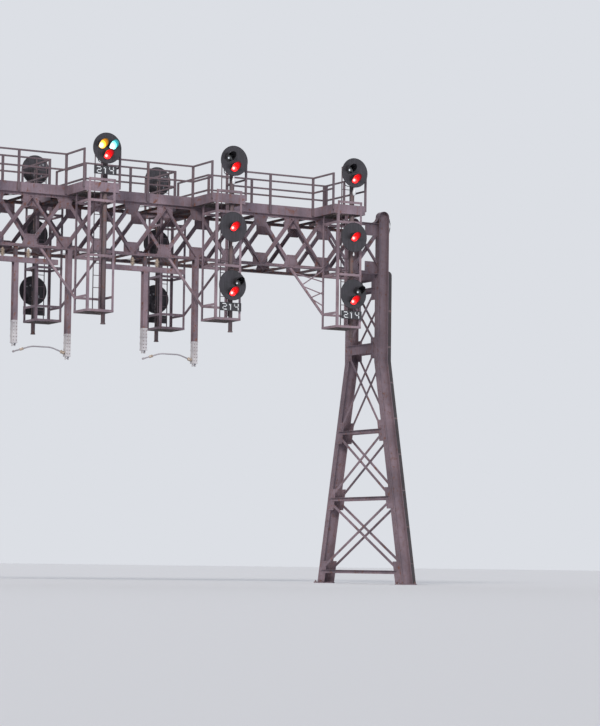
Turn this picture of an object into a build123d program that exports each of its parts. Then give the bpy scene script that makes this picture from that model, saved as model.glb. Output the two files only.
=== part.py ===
"""Railway signal gantry: a steel box truss on two lattice towers, with a walkway, signal masts and hangers.

X runs along the bridge, Y along the tracks and Z up, in millimetres. The origin lies on the ground in the
middle of the span. The front faces -Y. Four tracks pass below, and a signal mast stands on the right of each.
"""

import os
from math import cos, radians, sin

from build123d import *

os.makedirs("parts", exist_ok=True)

# Truss
PANEL = 914.4
PANELS = 19
TRUSS_WIDTH = 1524.0
TRUSS_SOFFIT = 8135.0
TRUSS_DEPTH = 1345.0
CHORD_LEG = 75.0
CHORD_THICKNESS = 9.0
GUSSET_THICKNESS = 9.0
GUSSET_WIDTH = 430.0
GUSSET_TIP = 250.0
GUSSET_HEIGHT = 330.0
END_GUSSET_WIDTH = 380.0
WEB_BAR_LEG = 85.0
WEB_BAR_THICKNESS = 8.0
NODE_INSET = 55.0
LATERAL_BAR_LEG = 65.0
LATERAL_BAR_THICKNESS = 8.0

# Towers
LEG_WIDTH = 300.0
LEG_DEPTH = 200.0
LEG_FLANGE = 12.0
LEG_WEB = 10.0
LEG_RISE = 320.0
LEG_BEND = 5850.0
BASE_SPREAD = 4220.0
FILLET_RADIUS = 190.0
FILLET_THICKNESS = 10.0
FILLET_LIP = 10.0
BASE_PLATE_THICKNESS = 30.0
BASE_PLATE_MARGIN = 75.0
ANCHOR_MARGIN = 38.0
ANCHOR_HOLE_RADIUS = 17.0
TOWER_GUSSET_THICKNESS = 9.0
TOWER_GUSSET_HEIGHT = 560.0
TOWER_GUSSET_REACH = 170.0
TOWER_BAR_LEG = 75.0
TOWER_BAR_THICKNESS = 8.0
TOWER_BAR_CLEARANCE = 20.0
STRUT_THICKNESS = 9.0
STRUT_FLANGE = 60.0
STRUT_DEPTH = 90.0
LOWER_STRUTS = (315.0, 2240.0, 4010.0)
BEND_STRUT_RISE = 350.0
BEND_STRUT_DEPTH = 250.0
UPPER_STRUT_DROP = 385.0
PORTAL_STRUT_DEPTH = 240.0
PORTAL_STRUT_RISE = 15.0
PORTAL_STRUT_LAP = 20.0
RISER_WIDTH = 120.0
RISER_DEPTH = 110.0
RISER_TOP = 90.0

# Walkway, with its back edge over the middle of the truss
TRACK_PITCH = 3500.0
TRACKS = 4
WALKWAY_WIDTH = 980.0
FASCIA_HEIGHT = 235.0
FASCIA_THICKNESS = 8.0
BEARER_DEPTH = 70.0
BEARER_WIDTH = 60.0
DECK_THICKNESS = 30.0
BOARD_GAP = 0.5
RAIL_HEIGHT = 1040.0
MID_RAIL_HEIGHT = 650.0
RAIL_SIZE = 40.0
POST_SIZE = 60.0
POST_FOOT_GAP = 20.0

# Platforms and cages
PLATFORM_WIDTH = 914.4
PLATFORM_REACH = 1090.0
CAGE_WIDTH = 720.0
CAGE_DEPTH = 770.0
CAGE_DROP = 2940.0
CAGE_RISE = 330.0
CAGE_LEG = 60.0
CAGE_THICKNESS = 6.0
CAGE_RING_DROPS = (190.0, 1540.0)
CAGE_HOOP_DROP = 2530.0
CAGE_FLOOR_THICKNESS = 20.0
BRACE_RUN = 750.0
BRACE_LEG = 50.0
MAST_RADIUS = 52.0
MAST_SIDES = 12
MAST_OFFSET = 140.0
MAST_SETBACK = 130.0
MAST_STUB = 290.0
MAST_FLOOR_CLEARANCE = 6.0
CLAMP_WALL = 12.0
CLAMP_DEPTH = 90.0
CLAMP_WIDTH = 60.0
LADDER_WIDTH = 280.0
LADDER_OFFSET = 90.0
LADDER_SETBACK = 350.0
LADDER_RISE = 1270.0
LADDER_RAIL = 40.0
LADDER_RAIL_THICKNESS = 10.0
RUNG_RADIUS = 10.0
RUNG_PITCH = 300.0
RUNG_SIDES = 6

# Signal heads: each one's rise above the chord, and its lenses, as (distance out, turn from the right)
HEAD_OFFSET = 40.0
TARGET_RADIUS = 381.0
TARGET_SIDES = 40
TARGET_THICKNESS = 5.0
TARGET_STANDOFF = 150.0
LENS_RADIUS = 106.0
LENS_THICKNESS = 12.0
LENS_SIDES = 12
UPPER_LEFT, UPPER_RIGHT, LOWEST, MIDDLE = (165.0, 150.0), (165.0, 30.0), (165.0, 270.0), (0.0, 0.0)
TOP_HEAD_RISE = 1050.0
LONE_HEAD = ((TOP_HEAD_RISE, (UPPER_LEFT, UPPER_RIGHT, LOWEST)),)
THREE_HEADS = ((TOP_HEAD_RISE, (UPPER_LEFT, LOWEST)), (-615.0, (MIDDLE,)), (-2080.0, (UPPER_RIGHT, LOWEST)))
FRONT_HEADS = (THREE_HEADS, THREE_HEADS, LONE_HEAD, LONE_HEAD)
BACK_HEADS = (THREE_HEADS, THREE_HEADS, THREE_HEADS, LONE_HEAD)
HOOD_RADIUS = 118.0
HOOD_THICKNESS = 4.0
HOOD_LENGTH = 240.0
HOOD_ANGLE = 240.0
HOOD_SIDES = 8
HOUSING_MARGIN = 24.0
HOUSING_GAP = 5.0
PLATE_WIDTH = 600.0
PLATE_HEIGHT = 210.0
PLATE_THICKNESS = 5.0
PLATE_DROP = 530.0
PLATE_STANDOFF = 60.0
PLATE_ARM = 40.0

# Hangers below the truss, over the tracks that carry wires
WIRED_TRACKS = 3
HANGER_WIDTH = 120.0
HANGER_DEPTH = 160.0
HANGER_STEEL = 10.0
BEAM_LENGTH = 2230.0
BEAM_DEPTH = 125.0
BEAM_WIDTH = 100.0
BEAM_GAP = 265.0
BEAM_STRAP = 80.0
BEAM_STRAP_INSET = 250.0
WIRE_HANGER_DROP = 2375.0
STEADY_HANGER_EXTRA = 260.0
STEADY_HANGER_OFFSET = 1420.0
HANGER_END_LENGTH = 560.0
STEADY_ARM_RADIUS = 18.0
STEADY_ARM_RISE = 150.0
STEADY_ARM_BEND = 160.0
STEADY_ARM_KNEES = (0.3, 0.67)
STEADY_ARM_FOOT = 60.0
STEADY_ARM_SIDES = 8

HALF_SPAN = PANEL * PANELS / 2
HALF_WIDTH = TRUSS_WIDTH / 2
CHORD_TOP = TRUSS_SOFFIT + TRUSS_DEPTH
CHORD_EDGE = HALF_WIDTH + GUSSET_THICKNESS / 2 + CHORD_LEG
TRUSS_END = HALF_SPAN - LEG_WIDTH / 2
DECK_BASE = CHORD_TOP + BEARER_DEPTH
DECK_TOP = DECK_BASE + DECK_THICKNESS
PLATFORM_EDGE = CHORD_EDGE + PLATFORM_REACH
WALKWAY_END = TRACK_PITCH * TRACKS / 2 + PLATFORM_WIDTH / 2
WALKWAY_BACK = WALKWAY_WIDTH - CHORD_EDGE
CAGE_FRONT = PLATFORM_EDGE + CAGE_THICKNESS
CAGE_BACK = CAGE_FRONT - CAGE_DEPTH
CAGE_BOTTOM = CHORD_TOP - CAGE_DROP
MAST_LINE = CAGE_FRONT - MAST_SETBACK
TARGET_LINE = CAGE_FRONT + TARGET_STANDOFF
BEAM_TOP = TRUSS_SOFFIT - BEAM_GAP
STRUTS = [(level, STRUT_DEPTH) for level in LOWER_STRUTS]
STRUTS += [(LEG_BEND + BEND_STRUT_RISE, BEND_STRUT_DEPTH), (TRUSS_SOFFIT - UPPER_STRUT_DROP, STRUT_DEPTH)]
TRACK_LINES = [TRACK_PITCH * (TRACKS / 2 - 0.5 - i) for i in range(TRACKS)]
FRONT_MASTS = {TRACK_PITCH * (TRACKS / 2 - i): heads for i, heads in enumerate(FRONT_HEADS)}
BACK_MASTS = {TRACK_PITCH * (TRACKS / 2 - 1 - i): heads for i, heads in enumerate(BACK_HEADS)}


def save(name, pieces):
    """Writes one node: its solids that don't touch stay separate."""
    node = Compound(children=[solid for piece in pieces for solid in piece.solids()])
    export_step(node, f"parts/{name}.step")
    print(name, len(node.solids()), "solids")


def join(pieces):
    """One shape made of pieces that touch or cross."""
    return pieces[0].fuse(*pieces[1:])


def block(x_range, y_range, z_range):
    """A box between two limits along each axis."""
    (x0, x1), (y0, y1), (z0, z1) = (sorted(limits) for limits in (x_range, y_range, z_range))
    return Pos((x0 + x1) / 2, (y0 + y1) / 2, (z0 + z1) / 2) * Box(x1 - x0, y1 - y0, z1 - z0)


def around(middle, size):
    """The limits of a size about its middle."""
    return (middle - size / 2, middle + size / 2)


def polygon(points):
    return make_face(Polyline(*points, close=True))


def angle_section(flat, standing, thickness):
    """An angle: one leg lies along x about the origin, the other stands along y at its left end."""
    left = -flat / 2
    return polygon([(left, 0), (left + flat, 0), (left + flat, thickness), (left + thickness, thickness),
                    (left + thickness, standing), (left, standing)])


def member(start, end, facing, section):
    """A bar from start to end. The section's y looks along facing."""
    start, along = Vector(*start), Vector(*end) - Vector(*start)
    across = Vector(*facing).cross(along).normalized()
    return extrude(Plane(origin=start, x_dir=across, z_dir=along.normalized()) * section, along.length)


def at_masts(draw):
    """What draw makes for each front mast, and for each back mast after half a turn about the middle."""
    front = [piece for mast in FRONT_MASTS for piece in draw(mast)]
    return front + [Rot(0, 0, 180) * piece for mast in BACK_MASTS for piece in draw(-mast)]


def at_heads(draw, first=0):
    """What draw makes for each signal head, or for the lowest one on each mast where first is -1."""
    front = [piece for mast, heads in FRONT_MASTS.items() for rise, lamps in heads[first:]
             for piece in draw(mast, CHORD_TOP + rise, lamps)]
    back = [piece for mast, heads in BACK_MASTS.items() for rise, lamps in heads[first:]
            for piece in draw(-mast, CHORD_TOP + rise, lamps)]
    return front + [Rot(0, 0, 180) * piece for piece in back]


# Truss: two webs of crossed bars, four chords and the bracing between them
def panel_x(k):
    return k * PANEL - HALF_SPAN


def gusset(k, top, side):
    """A plate at a panel point: tapered where the outer bars cross it, square where the inner ones do."""
    edge, inward = (CHORD_TOP, -1) if top else (TRUSS_SOFFIT, 1)
    tapered = (k % 2 == 1) == top
    half = GUSSET_WIDTH / 2
    half_tip = (GUSSET_TIP if tapered else GUSSET_WIDTH) / 2
    shoulder, tip = edge + inward * CHORD_LEG, edge + inward * GUSSET_HEIGHT
    outline = [(-half, edge), (half, edge), (half, shoulder), (half_tip, tip), (-half_tip, tip),
               (-half, shoulder)]
    if not tapered:
        outline = [(-half, edge), (half, edge), (half, tip), (-half, tip)]
    plate = extrude(Plane.XZ * polygon(outline), GUSSET_THICKNESS / 2, both=True)
    return plate.moved(Pos(panel_x(k), side * HALF_WIDTH, 0))


def end_gusset(end, top, side):
    edge, inward = (CHORD_TOP, -1) if top else (TRUSS_SOFFIT, 1)
    return block((end * TRUSS_END, end * (TRUSS_END - END_GUSSET_WIDTH)),
                 around(side * HALF_WIDTH, GUSSET_THICKNESS), (edge, edge + inward * GUSSET_HEIGHT))


def web_bar(k, rising, side):
    """One diagonal of a panel: an angle flat against the outer or the inner face of the gussets, by turns."""
    out = side if (k % 2 == 0) != rising else -side
    y = side * HALF_WIDTH + out * GUSSET_THICKNESS / 2
    low, high = TRUSS_SOFFIT + NODE_INSET, CHORD_TOP - NODE_INSET
    z0, z1 = (low, high) if rising else (high, low)
    section = angle_section(WEB_BAR_LEG, WEB_BAR_LEG, WEB_BAR_THICKNESS)
    return member((panel_x(k), y, z0), (panel_x(k + 1), y, z1), (0, out, 0), section)


def truss_web(side):
    """All the diagonals and gussets of one truss, riveted into one flat lattice."""
    room = block((-TRUSS_END, TRUSS_END), around(0, 2 * TRUSS_WIDTH),
                 (TRUSS_SOFFIT + CHORD_LEG, CHORD_TOP - CHORD_LEG))
    pieces = [web_bar(k, rising, side) & room for k in range(PANELS) for rising in (True, False)]
    pieces += [gusset(k, top, side) for k in range(1, PANELS) for top in (True, False)]
    pieces += [end_gusset(end, top, side) for end in (-1, 1) for top in (True, False)]
    middle = TRUSS_SOFFIT + TRUSS_DEPTH / 2
    pieces += [block(around(panel_x(k + 0.5), WEB_BAR_LEG), around(side * HALF_WIDTH, GUSSET_THICKNESS),
                     around(middle, WEB_BAR_LEG)) for k in range(PANELS)]
    return join(pieces)


def chord(top, side):
    """Two angles back to back with the gussets between them."""
    edge, inward = (CHORD_TOP, -1) if top else (TRUSS_SOFFIT, 1)
    ends = (-TRUSS_END, TRUSS_END)
    angles = []
    for out in (-1, 1):
        y = side * HALF_WIDTH + out * GUSSET_THICKNESS / 2
        upright = block(ends, (y, y + out * CHORD_THICKNESS), (edge, edge + inward * CHORD_LEG))
        flat = block(ends, (y, y + out * CHORD_LEG), (edge, edge + inward * CHORD_THICKNESS))
        angles.append(upright.fuse(flat))
    return angles


def lateral_bracing(top):
    """Tees across the truss at every panel point and a zigzag of flats between them."""
    inward = -1 if top else 1
    z = (CHORD_TOP if top else TRUSS_SOFFIT) + inward * CHORD_THICKNESS
    seat = HALF_WIDTH - GUSSET_THICKNESS / 2 - CHORD_THICKNESS
    clear = HALF_WIDTH - GUSSET_THICKNESS / 2 - CHORD_LEG
    bed = (z, z + inward * LATERAL_BAR_THICKNESS)
    pieces = []
    for k in range(1, PANELS):
        pieces.append(block(around(panel_x(k), LATERAL_BAR_LEG), (-seat, seat), bed))
        pieces.append(block(around(panel_x(k), LATERAL_BAR_THICKNESS), (-clear, clear),
                            (z, z + inward * LATERAL_BAR_LEG)))
    reach = clear + LATERAL_BAR_LEG / 2
    limit = TRUSS_END - LATERAL_BAR_LEG
    for k in range(PANELS):
        swing = reach if k % 2 else -reach
        x0, x1 = max(panel_x(k), -limit), min(panel_x(k + 1), limit)
        flat = Pos(0, LATERAL_BAR_THICKNESS / 2) * Rectangle(LATERAL_BAR_LEG, LATERAL_BAR_THICKNESS)
        pieces.append(member((x0, swing, z), (x1, -swing, z), (0, 0, inward), flat))
    return join(pieces)


# Towers: two built-up legs each, straight down to the bend and then spread, braced across in two planes
def leg_y(z):
    """How far the leg's centre line stands from the middle at a height."""
    drop = max(LEG_BEND - z, 0) / LEG_BEND
    return HALF_WIDTH + (BASE_SPREAD / 2 - HALF_WIDTH) * drop


def leg(end, side):
    """One leg: two flange plates and a web between them, closed over the top by a half round."""
    crown = CHORD_TOP + LEG_RISE - LEG_WIDTH / 2
    foot = BASE_PLATE_THICKNESS
    x = end * HALF_SPAN

    def strip(depth):
        """The leg seen along the bridge, as deep as this all the way down."""
        half = depth / 2
        outline = [(leg_y(foot) - half, foot), (leg_y(foot) + half, foot), (HALF_WIDTH + half, LEG_BEND),
                   (HALF_WIDTH + half, crown), (HALF_WIDTH - half, crown), (HALF_WIDTH - half, LEG_BEND)]
        return Plane.YZ * polygon([(side * y, z) for y, z in outline])

    flanges = [extrude(strip(LEG_DEPTH), LEG_FLANGE).moved(Pos(x + edge, 0, 0))
               for edge in (-LEG_WIDTH / 2, LEG_WIDTH / 2 - LEG_FLANGE)]
    web = extrude(strip(LEG_WEB), LEG_WIDTH).moved(Pos(x - LEG_WIDTH / 2, 0, 0))
    half_round = Circle(LEG_WIDTH / 2) & Pos(0, LEG_WIDTH / 4) * Rectangle(LEG_WIDTH, LEG_WIDTH / 2)
    rim = half_round - Circle(LEG_WIDTH / 2 - LEG_FLANGE)
    top = Pos(x, side * HALF_WIDTH, crown)
    cap = [extrude(Plane.XZ * face, depth / 2, both=True).moved(top)
           for face, depth in ((rim, LEG_DEPTH), (half_round, LEG_WEB))]
    return join(flanges + [web] + cap)


def corner_fillet(end, side):
    """The curved plate in the corner between the top chord and the leg, with a lip along its curve."""
    centre = (end * (TRUSS_END - FILLET_RADIUS), CHORD_TOP + FILLET_RADIUS)
    corner = Pos(end * (TRUSS_END - FILLET_RADIUS / 2), CHORD_TOP + FILLET_RADIUS / 2)
    square = corner * Rectangle(FILLET_RADIUS, FILLET_RADIUS)
    plate = square - Pos(*centre) * Circle(FILLET_RADIUS - FILLET_LIP)
    lip = plate & Pos(*centre) * Circle(FILLET_RADIUS)
    faces = ((plate, FILLET_THICKNESS), (lip, 2 * CHORD_LEG))
    layers = [extrude(Plane.XZ * face, depth / 2, both=True) for face, depth in faces]
    return join(layers).moved(Pos(0, side * HALF_WIDTH, 0))


def base_plate(end, side):
    """The plate that the leg stands on, with a hole near each corner for an anchor bolt."""
    place = Pos(end * HALF_SPAN, side * leg_y(BASE_PLATE_THICKNESS), BASE_PLATE_THICKNESS / 2)
    width, depth = LEG_WIDTH + 2 * BASE_PLATE_MARGIN, LEG_DEPTH + 2 * BASE_PLATE_MARGIN
    holes = GridLocations(width - 2 * ANCHOR_MARGIN, depth - 2 * ANCHOR_MARGIN, 2, 2)
    drill = Cylinder(ANCHOR_HOLE_RADIUS, 2 * BASE_PLATE_THICKNESS)
    return place * (Box(width, depth, BASE_PLATE_THICKNESS) - holes * drill)


def tower_faces(end):
    """The x of the outer face of each of a leg's flanges, with the way that it looks."""
    return [(end * HALF_SPAN + out * LEG_WIDTH / 2, out) for out in (-1, 1)]


def tower_struts(end):
    """Angles across the tower on the gussets, and a deep one at the truss's soffit straight on the legs."""
    pieces = []
    for face, out in tower_faces(end):
        plane = face + out * TOWER_GUSSET_THICKNESS
        runs = [(level, depth, plane, leg_y(level) - LEG_DEPTH / 2) for level, depth in STRUTS]
        portal_reach = HALF_WIDTH - LEG_DEPTH / 2 + PORTAL_STRUT_LAP
        runs.append((TRUSS_SOFFIT + PORTAL_STRUT_RISE, PORTAL_STRUT_DEPTH, face, portal_reach))
        for level, depth, x, reach in runs:
            plate = block((x, x + out * STRUT_THICKNESS), (-reach, reach), around(level, depth))
            top = level + depth / 2
            flange = block((x, x + out * STRUT_FLANGE), (-reach, reach), (top - STRUT_THICKNESS, top))
            pieces.append(plate.fuse(flange))
    return pieces


def tower_gussets(end):
    """Plates on the legs' flanges at each strut, reaching inwards to take the braces."""
    pieces = []
    lap = LEG_DEPTH / 4
    reach = LEG_DEPTH / 2 + TOWER_GUSSET_REACH
    for face, out in tower_faces(end):
        for level, _ in STRUTS:
            z0 = max(level - TOWER_GUSSET_HEIGHT / 2, BASE_PLATE_THICKNESS)
            z1 = level + TOWER_GUSSET_HEIGHT / 2
            heights = (z0, min(max(LEG_BEND, z0), z1), z1)
            inner = [(leg_y(z) - reach, z) for z in heights]
            outline = inner + [(leg_y(z) + lap, z) for z in reversed(heights)]
            outline = [point for i, point in enumerate(outline) if point != outline[i - 1]]
            for side in (-1, 1):
                plate = Plane.YZ * polygon([(side * y, z) for y, z in outline])
                pieces.append(extrude(plate, out * TOWER_GUSSET_THICKNESS).moved(Pos(face, 0, 0)))
    return pieces


def tower_braces(end):
    """Crossed flats in each bay: one on the outer face of the gussets, the other on the inner face."""
    pieces = []
    inset = LEG_DEPTH / 2 + TOWER_BAR_LEG / 2 + TOWER_BAR_CLEARANCE
    flat = Pos(0, TOWER_BAR_THICKNESS / 2) * Rectangle(TOWER_BAR_LEG, TOWER_BAR_THICKNESS)
    for face, out in tower_faces(end):
        for (bottom, bottom_depth), (top, top_depth) in zip(STRUTS, STRUTS[1:]):
            z0 = bottom + bottom_depth / 2 + TOWER_BAR_LEG
            z1 = top - top_depth / 2 - TOWER_BAR_LEG
            for side in (-1, 1):
                x = face + (out * TOWER_GUSSET_THICKNESS if side > 0 else 0)
                start, finish = (x, side * (leg_y(z0) - inset), z0), (x, -side * (leg_y(z1) - inset), z1)
                pieces.append(member(start, finish, (side * out, 0, 0), flat))
    return pieces


def cable_riser(side):
    """A square duct up the outer face of one leg, over its gussets, closed by a quarter round at the top."""
    foot, shoulder = BASE_PLATE_THICKNESS, TRUSS_SOFFIT + RISER_TOP - RISER_DEPTH
    half = RISER_WIDTH / 2
    outline = [(leg_y(foot) - half, foot), (leg_y(foot) + half, foot), (HALF_WIDTH + half, LEG_BEND),
               (HALF_WIDTH + half, shoulder), (HALF_WIDTH - half, shoulder), (HALF_WIDTH - half, LEG_BEND)]
    duct = extrude(Plane.YZ * polygon([(side * y, z) for y, z in outline]), RISER_DEPTH)
    corner = Pos(RISER_DEPTH / 2, RISER_DEPTH / 2) * Rectangle(RISER_DEPTH, RISER_DEPTH)
    quarter = Circle(RISER_DEPTH) & corner
    crown = extrude(Plane.XZ * quarter, half, both=True).moved(Pos(0, side * HALF_WIDTH, shoulder))
    return duct.fuse(crown).moved(Pos(HALF_SPAN + LEG_WIDTH / 2 + TOWER_GUSSET_THICKNESS, 0, 0))


# Walkway and the platforms that stand out from it
def bearers():
    """Beams across the chords: one over each track and one beside each cage, out to its platform's edge."""
    level = (CHORD_TOP, DECK_BASE)
    offset = (CAGE_WIDTH + BEARER_WIDTH) / 2
    front = {mast + s * offset for mast in FRONT_MASTS for s in (-1, 1)}
    back = {mast + s * offset for mast in BACK_MASTS for s in (-1, 1)}
    beams = []
    for x in sorted(front | back | set(TRACK_LINES)):
        y0 = PLATFORM_EDGE - FASCIA_THICKNESS if x in front else CHORD_EDGE - FASCIA_THICKNESS
        y1 = PLATFORM_EDGE - FASCIA_THICKNESS if x in back else CHORD_EDGE
        beams.append(block(around(x, BEARER_WIDTH), (-y0, y1), level))
    return beams


def platform_start(side):
    """Where the platforms begin: at the front chord's edge, or at the walkway's back edge."""
    return CHORD_EDGE if side < 0 else WALKWAY_BACK


def platforms():
    return [(mast, -1) for mast in FRONT_MASTS] + [(mast, 1) for mast in BACK_MASTS]


def walkway_deck():
    return block((-WALKWAY_END + FASCIA_THICKNESS, WALKWAY_END - FASCIA_THICKNESS),
                 (-CHORD_EDGE + FASCIA_THICKNESS, WALKWAY_BACK - FASCIA_THICKNESS), (DECK_BASE, DECK_TOP))


def platform_deck(mast, side):
    """A board from the walkway to the cage and one along each side of it, round the way down."""
    inside, cage_side = PLATFORM_WIDTH / 2 - FASCIA_THICKNESS, CAGE_WIDTH / 2
    start, edge = platform_start(side) - FASCIA_THICKNESS + BOARD_GAP, PLATFORM_EDGE - FASCIA_THICKNESS
    level = (DECK_BASE, DECK_TOP)
    rear = block(around(mast, 2 * inside), (side * start, side * (CAGE_BACK - BOARD_GAP)), level)
    sides = [block((mast + s * cage_side, mast + s * inside), (side * CAGE_BACK, side * edge), level)
             for s in (-1, 1)]
    return [rear] + sides


def stretches(masts):
    """The lengths of walkway edge between the platforms on one side."""
    edges = [-WALKWAY_END]
    for mast in sorted(masts):
        edges += [mast - PLATFORM_WIDTH / 2, mast + PLATFORM_WIDTH / 2]
    edges.append(WALKWAY_END)
    return [(a, b) for a, b in zip(edges[::2], edges[1::2]) if b - a > POST_SIZE]


def walkway_fascias():
    """Plates along both edges and across both ends of the walkway."""
    front, back, top = -CHORD_EDGE, WALKWAY_BACK, CHORD_TOP + FASCIA_HEIGHT
    plates = [block(run, (front, front + FASCIA_THICKNESS), (CHORD_TOP, top))
              for run in stretches(FRONT_MASTS)]
    plates += [block(run, (back - FASCIA_THICKNESS, back), (DECK_BASE, top)) for run in stretches(BACK_MASTS)]
    across = (front + FASCIA_THICKNESS + BOARD_GAP, back - FASCIA_THICKNESS - BOARD_GAP)
    plates += [block((end * WALKWAY_END, end * (WALKWAY_END - FASCIA_THICKNESS)), across, (DECK_BASE, top))
               for end in (-1, 1)]
    return plates


def platform_side_fascias(mast, side):
    level = (CHORD_TOP, CHORD_TOP + FASCIA_HEIGHT)
    half = PLATFORM_WIDTH / 2
    run = (side * platform_start(side), side * (PLATFORM_EDGE - FASCIA_THICKNESS))
    return [block((mast + s * half, mast + s * (half - FASCIA_THICKNESS)), run, level) for s in (-1, 1)]


def platform_front_fascia(mast, side):
    depth = (side * PLATFORM_EDGE, side * (PLATFORM_EDGE - FASCIA_THICKNESS))
    return block(around(mast, PLATFORM_WIDTH), depth, (CHORD_TOP, CHORD_TOP + FASCIA_HEIGHT))


def rail_levels():
    return [(CHORD_TOP + height - RAIL_SIZE, CHORD_TOP + height) for height in (MID_RAIL_HEIGHT, RAIL_HEIGHT)]


def railing(side):
    """Flat lengths of railing on the walkway's edge, with end posts and one over each track."""
    masts = FRONT_MASTS if side < 0 else BACK_MASTS
    y = -CHORD_EDGE if side < 0 else WALKWAY_BACK
    depth = (y, y + side * RAIL_SIZE)
    foot = (CHORD_TOP if side < 0 else DECK_BASE) + POST_FOOT_GAP
    panels = []
    for a, b in stretches(masts):
        posts = [a + POST_SIZE / 2, b - POST_SIZE / 2] + [track for track in TRACK_LINES if a < track < b]
        pieces = [block(around(x, POST_SIZE), depth, (foot, CHORD_TOP + RAIL_HEIGHT)) for x in posts]
        pieces += [block((a, b), depth, level) for level in rail_levels()]
        panels.append(join(pieces))
    return panels


def side_rail(x, out, y0, y1, posts):
    """A flat length of railing along Y, on the side of x that out names."""
    width = (x, x + out * RAIL_SIZE)
    foot = DECK_BASE + POST_FOOT_GAP
    pieces = [block(width, around(y, POST_SIZE), (foot, CHORD_TOP + RAIL_HEIGHT)) for y in posts]
    return join(pieces + [block(width, (y0, y1), level) for level in rail_levels()])


def platform_railings(mast, side):
    """The rails along both sides of a platform, each with a post at its far end."""
    start = side * (platform_start(side) + RAIL_SIZE)
    post = side * (PLATFORM_EDGE - POST_SIZE / 2)
    return [side_rail(mast + s * PLATFORM_WIDTH / 2, s, start, side * PLATFORM_EDGE, [post]) for s in (-1, 1)]


def end_railing(end):
    """The rail across the walkway's end, between the lines of the front and back railings."""
    y0, y1 = -CHORD_EDGE, WALKWAY_BACK
    posts = (y0 + POST_SIZE / 2, y1 - POST_SIZE / 2)
    return side_rail(end * WALKWAY_END, end, y0, y1, posts)


# Cages, ladders and masts, drawn for the front
def cage_uprights(mast):
    """Four angles: the front pair is lapped on the platform's front plate, the back pair meets the deck."""
    pieces = []
    for s in (-1, 1):
        x = mast + s * CAGE_WIDTH / 2
        wide, thin = (x, x - s * CAGE_LEG), (x, x - s * CAGE_THICKNESS)
        front = block(wide, (-CAGE_FRONT, -CAGE_FRONT + CAGE_THICKNESS), (CAGE_BOTTOM, CHORD_TOP + CAGE_RISE))
        front_leg = block(thin, (-CAGE_FRONT, -CAGE_FRONT + CAGE_LEG), (CAGE_BOTTOM, CHORD_TOP))
        back = block(wide, (-CAGE_BACK, -CAGE_BACK - CAGE_THICKNESS), (CAGE_BOTTOM, DECK_BASE))
        back_leg = block(thin, (-CAGE_BACK, -CAGE_BACK - CAGE_LEG), (CAGE_BOTTOM, DECK_BASE))
        pieces += [front.fuse(front_leg), back.fuse(back_leg)]
    return pieces


def cage_rings(mast):
    """Flats round the cage: outside the front and back uprights, and inside at the sides."""
    side_x = CAGE_WIDTH / 2 - CAGE_THICKNESS
    side_y = (-CAGE_FRONT + CAGE_THICKNESS, -CAGE_BACK - CAGE_THICKNESS)
    pieces = []
    closed = [CHORD_TOP - drop for drop in CAGE_RING_DROPS] + [CAGE_BOTTOM + CAGE_LEG]
    for top in closed + [CHORD_TOP - CAGE_HOOP_DROP]:
        level = (top - CAGE_LEG, top)
        for s in (-1, 1):
            x = mast + s * side_x
            pieces.append(block((x, x - s * CAGE_THICKNESS), side_y, level))
        pieces.append(block(around(mast, CAGE_WIDTH), (-CAGE_BACK, -CAGE_BACK + CAGE_THICKNESS), level))
    for top in closed + [CHORD_TOP + CAGE_RISE]:
        pieces.append(block(around(mast, CAGE_WIDTH), (-CAGE_FRONT, -CAGE_FRONT - CAGE_THICKNESS),
                            (top - CAGE_LEG, top)))
    return pieces


def cage_brace(mast):
    """An angle from under the near bottom chord down to the side of the cage's back upright."""
    side_x = mast - CAGE_WIDTH / 2
    low = (side_x, -CAGE_BACK - CAGE_LEG / 2, CHORD_TOP - CAGE_HOOP_DROP)
    high = (side_x - BRACE_RUN, -CHORD_EDGE + CAGE_LEG / 2, TRUSS_SOFFIT)
    along = Vector(*high) - Vector(*low)
    spare = along.normalized() * 2 * CAGE_LEG
    start, end = tuple(Vector(*low) - spare), tuple(Vector(*high) + spare)
    bar = member(start, end, (0, 1, 0), angle_section(BRACE_LEG, BRACE_LEG, CAGE_THICKNESS))
    room = block((side_x, side_x - 2 * BRACE_RUN), (-CAGE_FRONT, 0), (CAGE_BOTTOM, TRUSS_SOFFIT))
    return [bar & room]


def mast_bar(mast, radius, middle, length):
    """A many-sided bar on the mast's axis, its middle at a level."""
    section = Pos(mast + MAST_OFFSET, -MAST_LINE, middle) * RegularPolygon(radius, MAST_SIDES)
    return extrude(section, length / 2, both=True)


def cage_floor(mast):
    """The plate at the foot of the cage, with a hole that the mast passes through."""
    upright_and_ring = 2 * CAGE_THICKNESS
    plate = block(around(mast, CAGE_WIDTH - 2 * upright_and_ring),
                  (-CAGE_FRONT + CAGE_THICKNESS, -CAGE_BACK - CAGE_THICKNESS),
                  (CAGE_BOTTOM, CAGE_BOTTOM + CAGE_FLOOR_THICKNESS))
    return [plate - mast_bar(mast, MAST_RADIUS + MAST_FLOOR_CLEARANCE, CAGE_BOTTOM, 4 * CAGE_FLOOR_THICKNESS)]


def mast_pipe(mast):
    foot, top = CAGE_BOTTOM - MAST_STUB, CHORD_TOP + TOP_HEAD_RISE + CLAMP_DEPTH / 2
    return [mast_bar(mast, MAST_RADIUS, (foot + top) / 2, top - foot)]


def clamp(mast, level, front):
    """A ring round the mast with an arm out to a face in front of it."""
    ring = mast_bar(mast, MAST_RADIUS + CLAMP_WALL, level, CLAMP_DEPTH)
    arm = block(around(mast + MAST_OFFSET, CLAMP_WIDTH), (-MAST_LINE, -front), around(level, CLAMP_DEPTH))
    return ring.fuse(arm) - mast_bar(mast, MAST_RADIUS, level, 2 * CLAMP_DEPTH)


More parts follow.
